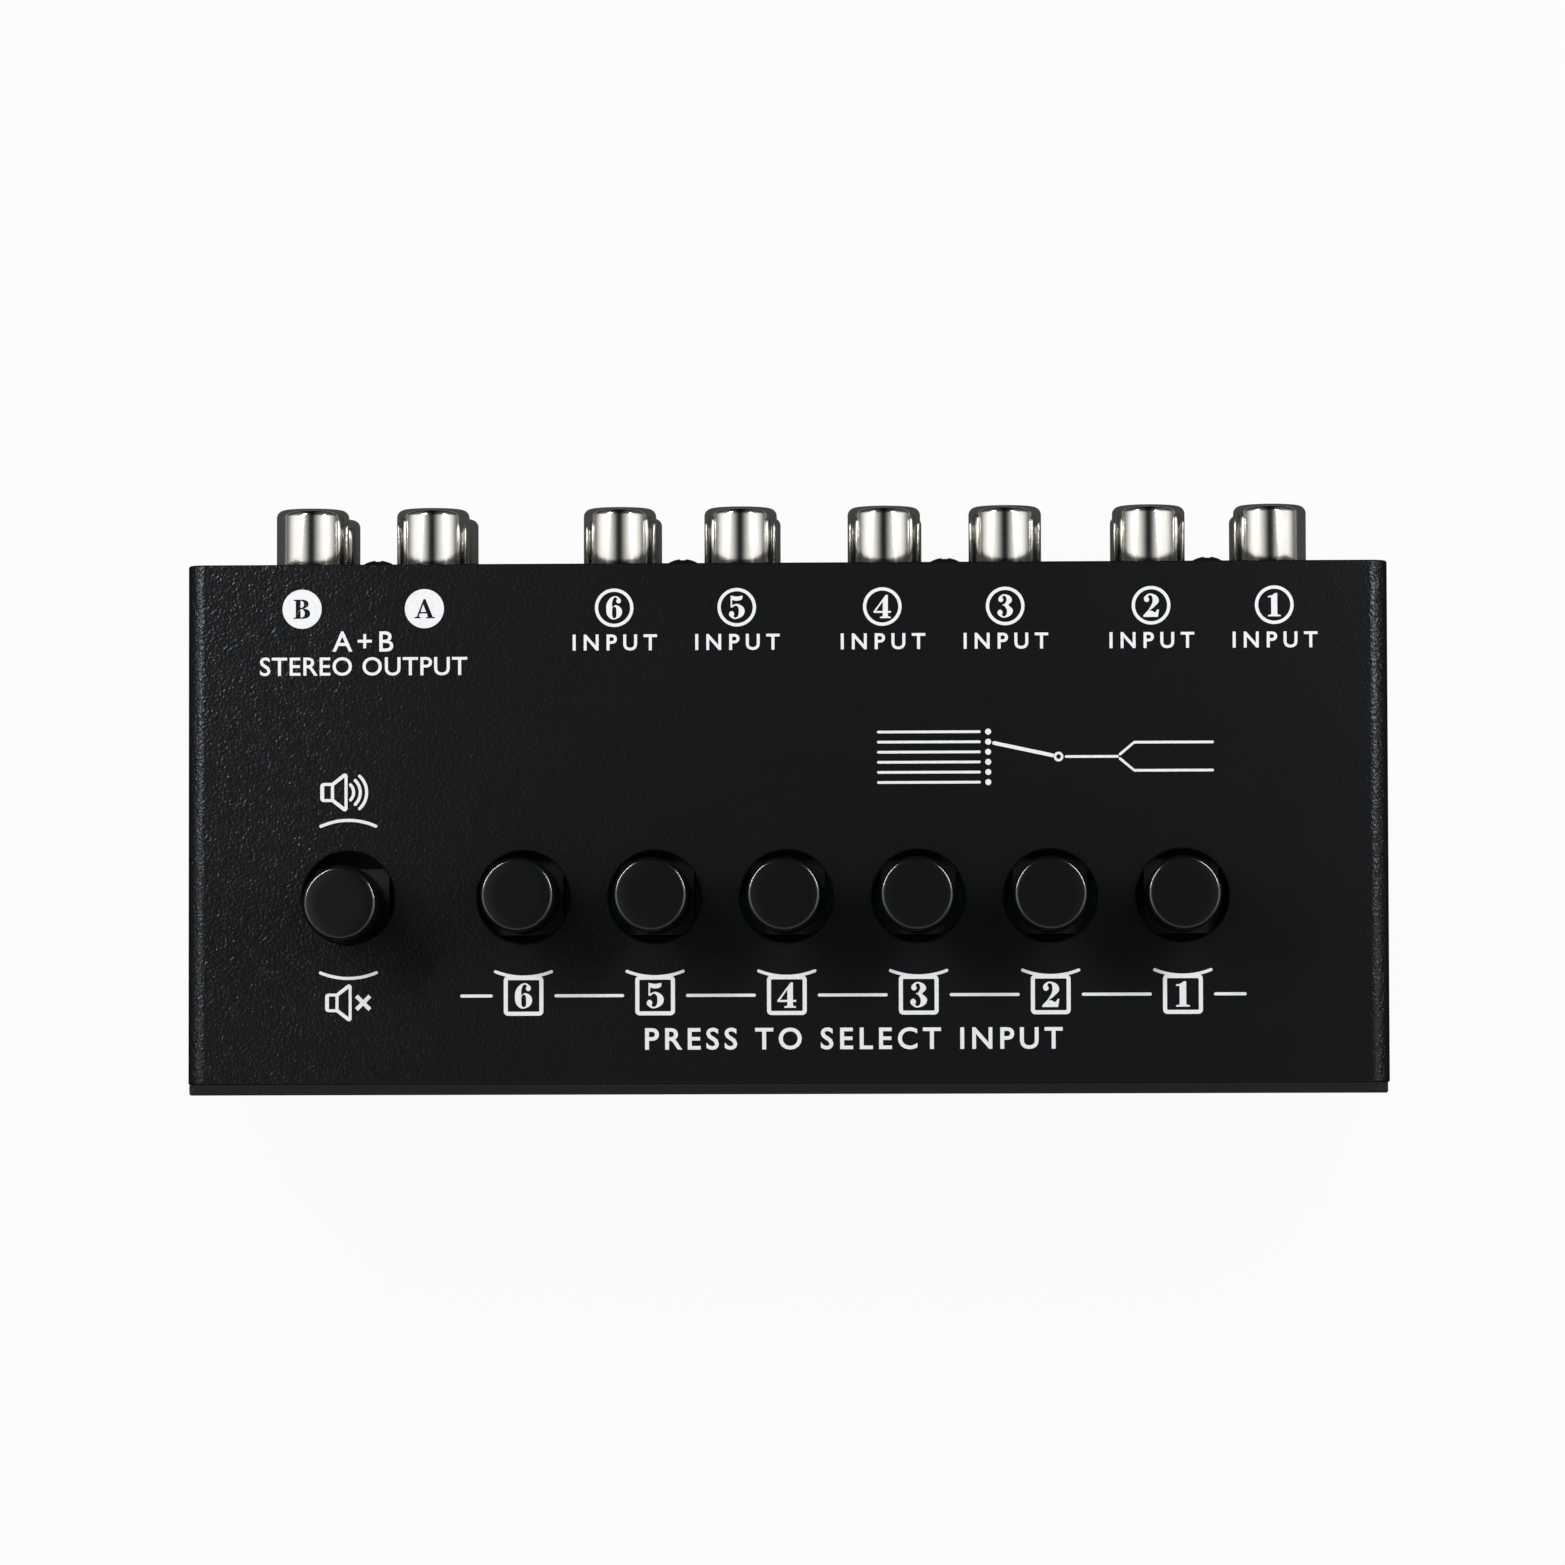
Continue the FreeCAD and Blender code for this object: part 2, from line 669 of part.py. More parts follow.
def jack_insert(x, z):
    """The coloured plastic plug of a jack, with the hole that a plug's pin enters."""
    root_y = block_face_y - insert_seat_depth
    shoulder_y = jack_tip_y - shell_rim_radius - insert_clearance
    face_y = jack_tip_y - insert_recess
    mouth_y = face_y - pin_hole_length
    step_y = neck_top_y + insert_clearance
    plug = rod_y(x, z, (root_y, step_y), neck_bore_radius - insert_clearance)
    nose_radius = shell_radius - shell_rim_radius - insert_clearance
    body_radius = shell_radius - shell_wall - insert_clearance
    plug = plug.fuse(
        [
            rod_y(x, z, (step_y, shoulder_y), body_radius),
            rod_y(x, z, (shoulder_y, face_y), nose_radius),
        ]
    )
    plug = plug.cut(rod_y(x, z, (mouth_y, face_y + overcut), pin_hole_radius))
    socket_radius = contact_hole_radius + contact_wall + contact_clearance
    plug = plug.cut(rod_y(x, z, (root_y - overcut, mouth_y), socket_radius))
    mouth = edges_of(
        plug,
        lambda middle, edge: isinstance(edge.Curve, Part.Circle)
        and close(middle.y, face_y)
        and close(edge.Curve.Radius, pin_hole_radius),
    )
    return plug.makeChamfer(pin_hole_chamfer, mouth)


def centre_contact(x, z, jog):
    """A contact tube with a rod through the block and a strip down its back into the board."""
    root_y = block_face_y - insert_seat_depth
    mouth_y = jack_tip_y - insert_recess - pin_hole_length
    outer = contact_hole_radius + contact_wall
    tube = rod_y(x, z, (root_y, mouth_y), outer)
    tube = tube.cut(rod_y(x, z, (root_y + contact_wall, mouth_y + overcut), contact_hole_radius))
    strip_y = (block_back_y - contact_strip_thickness, block_back_y)
    rod = rod_y(x, z, (block_back_y - contact_strip_thickness / 2, root_y), contact_rod_radius)
    half = contact_strip_width / 2
    crossing = box((x - half, x + jog + half), strip_y, (z - half, z + half))
    strip = box((x + jog - half, x + jog + half), strip_y, (main_board_top_z, z + half))
    half_pin = contact_pin_width / 2
    pin_z = (main_board_z - pin_tail, main_board_top_z)
    pin = box((x + jog - half_pin, x + jog + half_pin), strip_y, pin_z)
    return tube.fuse([rod, crossing, strip, pin]).removeSplitter()


def ground_strap(x):
    """A plate round a column's two shells, with a lug that is bent under into the board."""
    plate_y = (block_face_y - strap_thickness, block_face_y)
    low_z = lower_jack_z - shell_radius - strap_margin
    high_z = upper_jack_z + shell_radius + strap_margin
    plate = box((x - strap_width / 2, x + strap_width / 2), plate_y, (low_z, high_z))
    lug_half = strap_lug_width / 2
    foot_low_z = main_board_top_z + strap_thickness / 2
    drop = box((x - lug_half, x + lug_half), plate_y, (foot_low_z, low_z))
    foot_y = (block_face_y - strap_lug_setback - strap_thickness / 2, block_face_y)
    foot = box((x - lug_half, x + lug_half), foot_y, (foot_low_z, foot_low_z + strap_thickness))
    half_pin = contact_pin_width / 2
    pin = box(
        (x - half_pin, x + half_pin),
        (foot_y[0], foot_y[0] + strap_thickness),
        (main_board_z - pin_tail, foot_low_z),
    )
    strap = plate.fuse([drop, foot, pin]).removeSplitter()
    hole_y = (block_face_y - overcut, block_face_y + overcut)
    hole_radius = neck_radius + insert_clearance
    holes = [rod_y(x, z, hole_y, hole_radius) for z in (lower_jack_z, upper_jack_z)]
    return cut_all(strap, holes)


def jack_contacts(block_x):
    """The four centre contacts and two ground straps of a block."""
    made = []
    for x, z in jack_places(block_x):
        jog = contact_jog if z == upper_jack_z else 0
        made.append(centre_contact(x, z, jog))
    for side in (-1, 1):
        made.append(ground_strap(block_x + side * jack_pitch / 2))
    return made


def switch_housing(x, y):
    """The square body of a push switch, hollow, with a square hole for its plunger."""
    half = switch_width / 2
    body = box((x - half, x + half), (y - half, y + half), (switch_board_top_z, switch_top_z))
    upright = edges_of(
        body,
        lambda middle, edge: close(abs(middle.x - x), half) and close(abs(middle.y - y), half),
    )
    body = body.makeChamfer(switch_chamfer, upright)
    cavity_z = (switch_board_top_z + switch_wall, switch_top_z - switch_wall)
    cavity = rod_z(x, y, cavity_z, flange_radius + flange_clearance)
    hole_half = plunger_width / 2 + plunger_clearance
    hole_z = (switch_top_z - 1.5 * switch_wall, switch_top_z + overcut)
    hole = box((x - hole_half, x + hole_half), (y - hole_half, y + hole_half), hole_z)
    return body.cut(cavity).cut(hole)


def switch_plunger(x, y):
    """The square stem that the cap sits on, with a flange that stops it and a spring guide."""
    flange_top_z = switch_top_z - switch_wall - stop_gap
    flange_z = flange_top_z - flange_thickness
    cavity_floor_z = switch_board_top_z + switch_wall
    guide_z = cavity_floor_z + button_travel + guide_end_gap
    stem_top_z = cap_bottom_z + cap_socket_depth - cap_socket_clearance
    half = plunger_width / 2
    stem = box((x - half, x + half), (y - half, y + half), (flange_z, stem_top_z))
    flange = rod_z(x, y, (flange_z, flange_top_z), flange_radius)
    guide = rod_z(x, y, (guide_z, flange_z), guide_radius)
    return stem.fuse([flange, guide]).removeSplitter()


def button_cap(x, y):
    """The round button that a finger presses, with a square socket for the plunger."""
    cap = rod_z(x, y, (cap_bottom_z, top_z + cap_rise), cap_radius)
    crown = edges_of(cap, lambda middle, edge: close(middle.z, top_z + cap_rise))
    cap = cap.makeFillet(cap_rounding, crown)
    half = plunger_width / 2 + cap_socket_clearance
    socket_z = (cap_bottom_z - overcut, cap_bottom_z + cap_socket_depth)
    return cap.cut(box((x - half, x + half), (y - half, y + half), socket_z))


def return_spring(x, y):
    """The envelope of the coil spring round the plunger's guide, as a plain sleeve."""
    low_z = switch_board_top_z + switch_wall
    high_z = switch_top_z - switch_wall - 2 * stop_gap - flange_thickness
    sleeve = rod_z(x, y, (low_z, high_z), spring_outer_radius)
    bore_z = (low_z - overcut, high_z + overcut)
    return sleeve.cut(rod_z(x, y, bore_z, spring_outer_radius - spring_wire))


def switch_terminals():
    """The six solder pins under each switch."""
    pin_z = (switch_board_z - pin_tail, switch_board_top_z)
    return [rod_z(x, y, pin_z, terminal_radius) for x, y in terminal_places]


def build():
    """Every sub-part's solids, by the name of its node."""
    nodes = {
        "top_cover": [top_cover()],
        "base_tray": [base_tray()],
        "rubber_feet": rubber_feet(),
        "cover_screws": cover_screws(),
        "jack_screws": jack_screws(),
        "board_spacers": board_spacers(),
        "board_pillars": board_pillars(),
        "board_screws": board_screws(),
        "main_board": [main_board()],
        "switch_board": [switch_board()],
        "link_header": [link_header()],
        "switch_terminals": switch_terminals(),
    }
    for block, block_x in blocks.items():
        upper = [place for place in jack_places(block_x) if place[1] == upper_jack_z]
        lower = [place for place in jack_places(block_x) if place[1] == lower_jack_z]
        nodes[f"{block}_jack_housing"] = [jack_housing(block_x)]
        nodes[f"{block}_jack_shells"] = [jack_shell(x, z) for x, z in upper + lower]
        nodes[f"{block}_white_inserts"] = [jack_insert(x, z) for x, z in upper]
        nodes[f"{block}_red_inserts"] = [jack_insert(x, z) for x, z in lower]
        nodes[f"{block}_jack_contacts"] = jack_contacts(block_x)
    for button, (x, y) in buttons.items():
        nodes[f"{button}_cap"] = [button_cap(x, y)]
        nodes[f"{button}_plunger"] = [switch_plunger(x, y)]
        nodes[f"{button}_switch_housing"] = [switch_housing(x, y)]
        nodes[f"{button}_return_spring"] = [return_spring(x, y)]
    return nodes


os.makedirs("parts", exist_ok=True)
for name, shapes in build().items():
    solids = [solid for shape in shapes for solid in shape.Solids]
    whole = solids[0] if len(solids) == 1 else Part.makeCompound(solids)
    whole.exportStep(f"parts/{name}.step")
    print(name, len(solids), "solids", round(whole.Volume, 1), "mm3")
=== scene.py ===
# %% [markdown]
# # An audio source selector, dressed for its picture
# The frame is the finished construction of a small switch box: a folded steel case, sixteen
# phono jacks along its rear edge and seven round push buttons. It comes in at its real size
# with every sub-part as its own object. This notebook gives it surfaces: pieces that need a
# finer shape are modelled again where the frame says they are, and the rest keep their shape
# and get a better material.

# %% Load the frame
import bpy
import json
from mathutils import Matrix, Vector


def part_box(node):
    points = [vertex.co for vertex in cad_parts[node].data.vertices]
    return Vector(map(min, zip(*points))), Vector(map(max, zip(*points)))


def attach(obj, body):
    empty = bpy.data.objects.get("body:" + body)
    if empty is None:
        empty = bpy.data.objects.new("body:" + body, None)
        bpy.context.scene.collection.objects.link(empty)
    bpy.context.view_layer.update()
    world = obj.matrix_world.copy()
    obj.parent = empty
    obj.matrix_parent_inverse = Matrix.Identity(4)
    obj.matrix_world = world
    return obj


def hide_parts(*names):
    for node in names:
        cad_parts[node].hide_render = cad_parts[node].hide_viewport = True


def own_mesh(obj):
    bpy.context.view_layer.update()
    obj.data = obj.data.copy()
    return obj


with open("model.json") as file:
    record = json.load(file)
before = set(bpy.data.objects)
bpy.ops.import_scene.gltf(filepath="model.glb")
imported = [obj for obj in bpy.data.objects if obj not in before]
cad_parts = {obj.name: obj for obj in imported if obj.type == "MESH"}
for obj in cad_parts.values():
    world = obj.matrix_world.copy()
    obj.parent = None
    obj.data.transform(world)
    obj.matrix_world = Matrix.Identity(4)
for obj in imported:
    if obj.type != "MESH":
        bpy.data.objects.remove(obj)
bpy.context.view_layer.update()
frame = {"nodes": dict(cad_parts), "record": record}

# %% Modules and units
import json
import math

import bmesh
import bpy
from mathutils import Matrix, Vector

scene = bpy.context.scene
mm = 0.001

# %% [markdown]
# ## Where things are
# Nothing is measured twice. The top, the rear edge and the buttons come from the boxes
# of the frame's nodes, and the jacks' axes from the mounts in its record. Every later piece
# takes its place from these names, so it can't drift away from what carries it.

# %% Places from the frame
cover_low, cover_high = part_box("top_cover")
top_z = cover_high.z
rear_edge_y = cover_high.y
mounts = {mount["name"]: mount for mount in frame["record"]["mounts"]}
jack_labels = ("B", "A", "6", "5", "4", "3", "2", "1")
input_labels = jack_labels[2:]
jack_blocks = {
    "outputs": ("B", "A"),
    "inputs_6_5": ("6", "5"),
    "inputs_4_3": ("4", "3"),
    "inputs_2_1": ("2", "1"),
}


def jack_axis(label, side):
    """A point on the axis of one jack; left is the upper row and right the lower one."""
    return Vector(mounts[f"jack_{label}_{side}_shell"]["pos_m"])


def box_middle(node):
    """The middle of a node's box."""
    low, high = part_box(node)
    return (low + high) / 2


def box_foot(node):
    """The middle of the underside of a node's box."""
    middle = box_middle(node)
    return Vector((middle.x, middle.y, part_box(node)[0].z))


shell_radius = mounts["jack_1_left_shell"]["dims"]["r_mm"] * mm
button_names = ["mute"] + [f"channel_{label}" for label in input_labels]
button_middle = {name: box_middle(f"{name}_cap") for name in button_names}
button_row_y = button_middle["channel_1"].y
mute_x = button_middle["mute"].x
print("top at", round(top_z / mm, 2), "mm, buttons at y", round(button_row_y / mm, 2), "mm")

# %% [markdown]
# ## The camera
# The photograph looks almost straight down with a long lens, from a little to the right of
# the middle and in front of the box. Its place was found from how far the caps and the jacks
# lean outwards. The camera's axes are built from the line of sight and from +Y, because the
# usual tracking turns the picture when a camera looks this steeply down.

# %% Camera
camera_place = Vector((23.87, -31.49, 826.8)) * mm
camera_target = Vector((-0.43, 1.57, 44.0)) * mm
camera_roll = math.radians(-0.15)

camera_data = bpy.data.cameras.new("camera")
camera_data.lens = 158.3
camera_data.sensor_width = 36.0
camera_data.clip_start = 0.05
camera_data.clip_end = 50.0
camera = bpy.data.objects.new("camera", camera_data)
scene.collection.objects.link(camera)
sight = (camera_target - camera_place).normalized()
picture_right = sight.cross(Vector((0, 1, 0))).normalized()
picture_up = picture_right.cross(sight)
turn = Matrix((picture_right, picture_up, -sight)).transposed().to_4x4()
camera.matrix_world = Matrix.Translation(camera_place) @ turn @ Matrix.Rotation(camera_roll, 4, "Z")
scene.camera = camera
print("camera", round(camera_place.z, 3), "m above the floor")

# %% [markdown]
# ## Floor
# The box lies on plain white paper. A floor that is only lit would render grey, and more light
# would bleach the object. So rays from the camera see mostly an even white, mixed with a share
# of the lit floor, which keeps the object's shadow. Mirrored and refracted rays see the same
# white further off and a painted shadow near the box, a dark patch painted round it, which
# gives the bright metal its dark lower edges. All other rays meet plain pale paper.

# %% Floor
floor_size = 24.0
paper_colour = (0.6, 0.6, 0.6, 1)
paper_roughness = 0.9
camera_white_share = 0.95
mirror_white_share = 0.9
# the mirrored floor carries a painted shadow: fully dark within this radius, fading to white further off
painted_shadow_radius = 0.18
white_from_radius = 2.0
mirror_shadow_stops = [
    (0.0, (0.03, 0.03, 0.029)),
    (0.3, (0.14, 0.14, 0.14)),
    (1.0, (0.8, 0.8, 0.79)),
]


def new_math(tree, operation, first, second=0.0):
    """A math node between two sockets or numbers; returns its result."""
    node = tree.nodes.new("ShaderNodeMath")
    node.operation = operation
    for socket, value in zip(node.inputs, (first, second)):
        if isinstance(value, (int, float)):
            socket.default_value = value
        else:
            tree.links.new(value, socket)
    return node.outputs[0]


def mirror_ray(tree):
    """A socket that is 1 for glossy and for transmission rays."""
    path = tree.nodes.new("ShaderNodeLightPath")
    return new_math(tree, "MAXIMUM", path.outputs["Is Glossy Ray"], path.outputs["Is Transmission Ray"])


def camera_ray(tree):
    """A socket that is 1 for rays straight from the camera."""
    return tree.nodes.new("ShaderNodeLightPath").outputs["Is Camera Ray"]


def share_between(tree, source, low, high, to_low=0.0, to_high=1.0):
    """Maps a value's way from a low limit to a high one onto another range."""
    spread = tree.nodes.new("ShaderNodeMapRange")
    spread.inputs["From Min"].default_value = low
    spread.inputs["From Max"].default_value = high
    spread.inputs["To Min"].default_value = to_low
    spread.inputs["To Max"].default_value = to_high
    tree.links.new(source, spread.inputs["Value"])
    return spread.outputs["Result"]


def ramp_of(tree, source, stops):
    """A colour ramp through stops of (position, colour)."""
    ramp = tree.nodes.new("ShaderNodeValToRGB")
    elements = ramp.color_ramp.elements
    while len(elements) < len(stops):
        elements.new(1.0)
    for element, (position, colour) in zip(elements, stops):
        element.position = position
        element.color = (*colour, 1)
    tree.links.new(source, ramp.inputs["Fac"])
    return ramp.outputs["Color"]


def mixed(tree, factor, first, second):
    """Mixes two shaders by a socket."""
    blend = tree.nodes.new("ShaderNodeMixShader")
    tree.links.new(factor, blend.inputs["Fac"])
    tree.links.new(first, blend.inputs[1])
    tree.links.new(second, blend.inputs[2])
    return blend.outputs["Shader"]


floor_mesh = bpy.data.meshes.new("floor")
floor_bm = bmesh.new()
bmesh.ops.create_grid(floor_bm, x_segments=1, y_segments=1, size=floor_size / 2)
floor_bm.to_mesh(floor_mesh)
floor_bm.free()
floor = bpy.data.objects.new("floor", floor_mesh)
scene.collection.objects.link(floor)

paper = bpy.data.materials.new("white_paper")
paper.use_nodes = True
tree = paper.node_tree
lit = tree.nodes["Principled BSDF"]
lit.inputs["Base Color"].default_value = paper_colour
lit.inputs["Roughness"].default_value = paper_roughness
lit.inputs["Specular IOR Level"].default_value = 0.0
even_white = tree.nodes.new("ShaderNodeEmission")
floor_place = tree.nodes.new("ShaderNodeTexCoord")
distance = tree.nodes.new("ShaderNodeVectorMath")
distance.operation = "LENGTH"
tree.links.new(floor_place.outputs["Object"], distance.inputs[0])
# painted shadow: mirrored rays see the floor painted dark near the box
away = share_between(tree, distance.outputs["Value"], painted_shadow_radius, white_from_radius)
paper_with_painted_shadow = tree.nodes.new("ShaderNodeEmission")
tree.links.new(ramp_of(tree, away, mirror_shadow_stops), paper_with_painted_shadow.inputs["Color"])
camera_share = new_math(tree, "MULTIPLY", camera_ray(tree), camera_white_share)
mirror_share = new_math(tree, "MULTIPLY", mirror_ray(tree), mirror_white_share)
floor_seen = mixed(tree, camera_share, lit.outputs["BSDF"], even_white.outputs["Emission"])
floor_shader = mixed(tree, mirror_share, floor_seen, paper_with_painted_shadow.outputs["Emission"])
tree.links.new(floor_shader, tree.nodes["Material Output"].inputs["Surface"])
floor_mesh.materials.append(paper)
print("floor", floor_size, "m wide")

# %% [markdown]
# ## World
# Bright metal shows its surroundings. In the photograph each jack has a dark stripe along its
# top, where it mirrors the camera and the dark ceiling, then soft white walls on both sides. A
# shadow lies under the walls along the horizon, and some light comes from the front.
# So the world is plain white for the camera, and mirrored rays find that room: one ramp runs
# sideways, one keeps the walls narrow, one runs to the front and one upwards. The matt light
# that the world gives is even and softens the lamps' shadows.

# %% World
ambient_colour = (0.95, 0.97, 1.0, 1)
ambient_strength = 0.37
sideways_stops = [
    (0.0, (0.02, 0.02, 0.021)),
    (0.07, (0.026, 0.026, 0.027)),
    (0.13, (0.08, 0.08, 0.08)),
    (0.2, (0.24, 0.24, 0.24)),
    (0.3, (0.5, 0.5, 0.49)),
    (0.42, (0.86, 0.86, 0.84)),
    (0.53, (1.22, 1.21, 1.18)),
    (0.65, (1.36, 1.35, 1.31)),
    (1.0, (1.38, 1.37, 1.33)),
]
upwards_stops = ((0.1, 0.15), (0.16, 0.2), (0.28, 0.4), (0.38, 0.68), (0.55, 1.0))
wall_width_stops = ((0.14, 1.0), (0.4, 0.12))
frontwards_stops = ((0.1, 0.0), (0.4, 0.22), (0.9, 0.5))


def levels_of(tree, source, stops, factor=1.0):
    """A grey ramp through stops of (position, level), with every level times a factor."""
    return ramp_of(tree, source, [(position, (level * factor,) * 3) for position, level in stops])


def vector_math(tree, operation, first, second):
    """Combines two colours channel by channel."""
    node = tree.nodes.new("ShaderNodeVectorMath")
    node.operation = operation
    tree.links.new(first, node.inputs[0])
    tree.links.new(second, node.inputs[1])
    return node.outputs["Vector"]


world = bpy.data.worlds.new("studio")
world.use_nodes = True
scene.world = world
tree = world.node_tree
ambient = tree.nodes["Background"]
ambient.inputs["Color"].default_value = ambient_colour
ambient.inputs["Strength"].default_value = ambient_strength
direction = tree.nodes.new("ShaderNodeTexCoord")
axes = tree.nodes.new("ShaderNodeSeparateXYZ")
tree.links.new(direction.outputs["Generated"], axes.inputs["Vector"])
sideways = ramp_of(tree, new_math(tree, "ABSOLUTE", axes.outputs["X"]), sideways_stops)
wall_width = levels_of(tree, new_math(tree, "ABSOLUTE", axes.outputs["Y"]), wall_width_stops)
walls = vector_math(tree, "MULTIPLY", sideways, wall_width)
frontwards = levels_of(tree, new_math(tree, "MULTIPLY", axes.outputs["Y"], -1.0), frontwards_stops)
upwards = levels_of(tree, axes.outputs["Z"], upwards_stops)
room = vector_math(tree, "MULTIPLY", vector_math(tree, "ADD", walls, frontwards), upwards)
mirrored = tree.nodes.new("ShaderNodeBackground")
tree.links.new(room, mirrored.inputs["Color"])
seen = tree.nodes.new("ShaderNodeBackground")
seen.inputs["Color"].default_value = (1, 1, 1, 1)
around = mixed(tree, mirror_ray(tree), ambient.outputs["Background"], mirrored.outputs["Background"])
whole = mixed(tree, camera_ray(tree), around, seen.outputs["Background"])
tree.links.new(whole, tree.nodes["World Output"].inputs["Surface"])
print("world's matt light", ambient_strength)

# %% [markdown]
# ## Lamps
# The caps' rims have one long bright arc towards the rear left and a shorter one towards the
# rear right, so two small strip lamps hang there, close to the box. They are just high enough
# for the caps' shadows to miss the numbered squares. The left one is larger and brighter,
# which is why the coat glitters most at that end. Together with the world they light the top
# at a plain level, at which a colour renders about as it is written.

# %% Lamps
left_lamp_place = (-182, 114, 283)
left_lamp_size = (170, 26)
left_lamp_power = 0.475
right_lamp_place = (146, 77, 227)
right_lamp_size = (110, 24)
right_lamp_power = 0.21


def add_lamp(name, place, size, power):
    """A strip lamp that faces the middle of the box's top; place and size are in millimetres."""
    data = bpy.data.lights.new(name, "AREA")
    data.shape = "RECTANGLE"
    data.size = size[0] * mm
    data.size_y = size[1] * mm
    data.energy = power
    lamp = bpy.data.objects.new(name, data)
    lamp.location = Vector(place) * mm
    away = (lamp.location - Vector((0, 0, top_z))).normalized()
    along = Vector((0, 0, 1)).cross(away).normalized()
    lamp.rotation_euler = Matrix((along, away.cross(along), away)).transposed().to_euler()
    lamp.visible_camera = False
    scene.collection.objects.link(lamp)


add_lamp("lamp_left", left_lamp_place, left_lamp_size, left_lamp_power)
add_lamp("lamp_right", right_lamp_place, right_lamp_size, right_lamp_power)
scene.view_settings.view_transform = "Standard"
print("lamps of", left_lamp_power, "and", right_lamp_power, "W")

# %% [markdown]
# ## How a finish is made
# Every material starts from Blender's Principled shader. What changes over a surface, such as
# grain, dust or wear, is driven by noise on Object coordinates, which stay fixed to the piece.
# What is the same all over is set on the shader itself.

# %% Helpers for materials


def new_finish(name, colour, roughness, metallic=0.0, specular=0.5):
    """A material with its constant values set on the shader; returns it with its shader."""
    material = bpy.data.materials.new(name)
    material.use_nodes = True
    shader = material.node_tree.nodes["Principled BSDF"]
    shader.inputs["Base Color"].default_value = (*colour, 1)
    shader.inputs["Roughness"].default_value = roughness
    shader.inputs["Metallic"].default_value = metallic
    shader.inputs["Specular IOR Level"].default_value = specular
    return material, shader


def noise_on(material, size, detail=2.0, distortion=0.0, stretch=(1, 1, 1)):
    """A noise whose grains are about one size across, in metres, on Object coordinates."""
    tree = material.node_tree
    coordinates = tree.nodes.new("ShaderNodeTexCoord")
    mapping = tree.nodes.new("ShaderNodeMapping")
    mapping.inputs["Scale"].default_value = [1 / (size * s) for s in stretch]
    tree.links.new(coordinates.outputs["Object"], mapping.inputs["Vector"])
    noise = tree.nodes.new("ShaderNodeTexNoise")
    noise.inputs["Scale"].default_value = 1.0
    noise.inputs["Detail"].default_value = detail
    noise.inputs["Distortion"].default_value = distortion
    tree.links.new(mapping.outputs["Vector"], noise.inputs["Vector"])
    return noise.outputs["Fac"]


def vary_value(material, source, socket, low, high, span=(0.3, 0.7)):
    """Lets a noise move one of the shader's values between two limits."""
    tree = material.node_tree
    values = share_between(tree, source, *span, low, high)
    tree.links.new(values, tree.nodes["Principled BSDF"].inputs[socket])


def vary_colour(material, source, dark, light, span=(0.3, 0.7)):
    """Lets a noise move the base colour between two colours."""
    tree = material.node_tree
    colours = ramp_of(tree, source, [(span[0], dark), (span[1], light)])
    tree.links.new(colours, tree.nodes["Principled BSDF"].inputs["Base Color"])


def add_relief(material, source, depth, strength=1.0):
    """Turns a noise into small bumps of a depth in metres, on top of any made before."""
    tree = material.node_tree
    shader = tree.nodes["Principled BSDF"]
    bump = tree.nodes.new("ShaderNodeBump")
    bump.inputs["Distance"].default_value = depth
    bump.inputs["Strength"].default_value = strength
    tree.links.new(source, bump.inputs["Height"])
    if shader.inputs["Normal"].is_linked:
        tree.links.new(shader.inputs["Normal"].links[0].from_socket, bump.inputs["Normal"])
    tree.links.new(bump.outputs["Normal"], shader.inputs["Normal"])


# %% [markdown]
# ## Powder coat
# The case is coated with a black powder that melts into a fine grain, about a third of a
# millimetre from bump to bump. Each bump catches the lamp in one small glint. The grain is
# uneven: coarse patches lie beside calmer ones, it is deepest on the folds at both ends, and
# towards the right-hand end of the top the coat has flowed out smoother, as in the photograph.
# A slanted view of a rough coat shows less gloss than its smooth shader would give, which
# Layer Weight takes back. The tray was coated apart from the cover and came out smoother, and
# its upper edge, which shows along the front, is painted paler: a painted sheen along that
# edge.

# %% Powder coat
grain_size = 0.36 * mm
grain_depth = 0.1 * mm
patch_size = 1.3 * mm
drift_size = 9.0 * mm
tray_grain_share = 1 / 3
coat_roughness = 0.25
coat_gloss = 0.32
coat_gloss_tint = (0.88, 0.94, 1.0, 1)
patch_stops = ((0.35, 0.5), (0.65, 1.0))
flow_stops = (
    (0.007, 4.0), (0.011, 1.0), (0.1, 1.0), (0.2, 0.55), (0.3, 0.45),
    (0.5, 0.35), (0.8, 0.2), (0.98, 0.25), (0.989, 1.0), (0.993, 4.0),
)
coat_slant_stops = ((0.16, 1.0), (0.36, 0.55), (0.6, 0.03), (1.0, 0.0))
coat_dark = (0.0056, 0.006, 0.0068)
coat_light = (0.0063, 0.0067, 0.0076)
# painted sheen: the tray's upper edge is painted up to 2.6 times paler than its coat
tray_edge_sheen_stops = [(0.0, (1.0, 1.0, 1.0)), (1.0, (2.6, 2.4, 2.05))]
tray_edge_sheen_fade = (0.5 * mm, 0.3 * mm)


def slant_of(tree):
    """A socket that runs from 0 where a surface faces the viewer to 1 where it is edge-on."""
    slant = tree.nodes.new("ShaderNodeLayerWeight")
    slant.inputs["Blend"].default_value = 0.5
    return slant.outputs["Facing"]


def share_along(tree, axis, low, high):
    """How far a point lies from one place on an axis to another one, from 0 to 1."""
    coordinates = tree.nodes.new("ShaderNodeTexCoord")
    axes = tree.nodes.new("ShaderNodeSeparateXYZ")
    tree.links.new(coordinates.outputs["Object"], axes.inputs["Vector"])
    return share_between(tree, axes.outputs[axis], low, high)


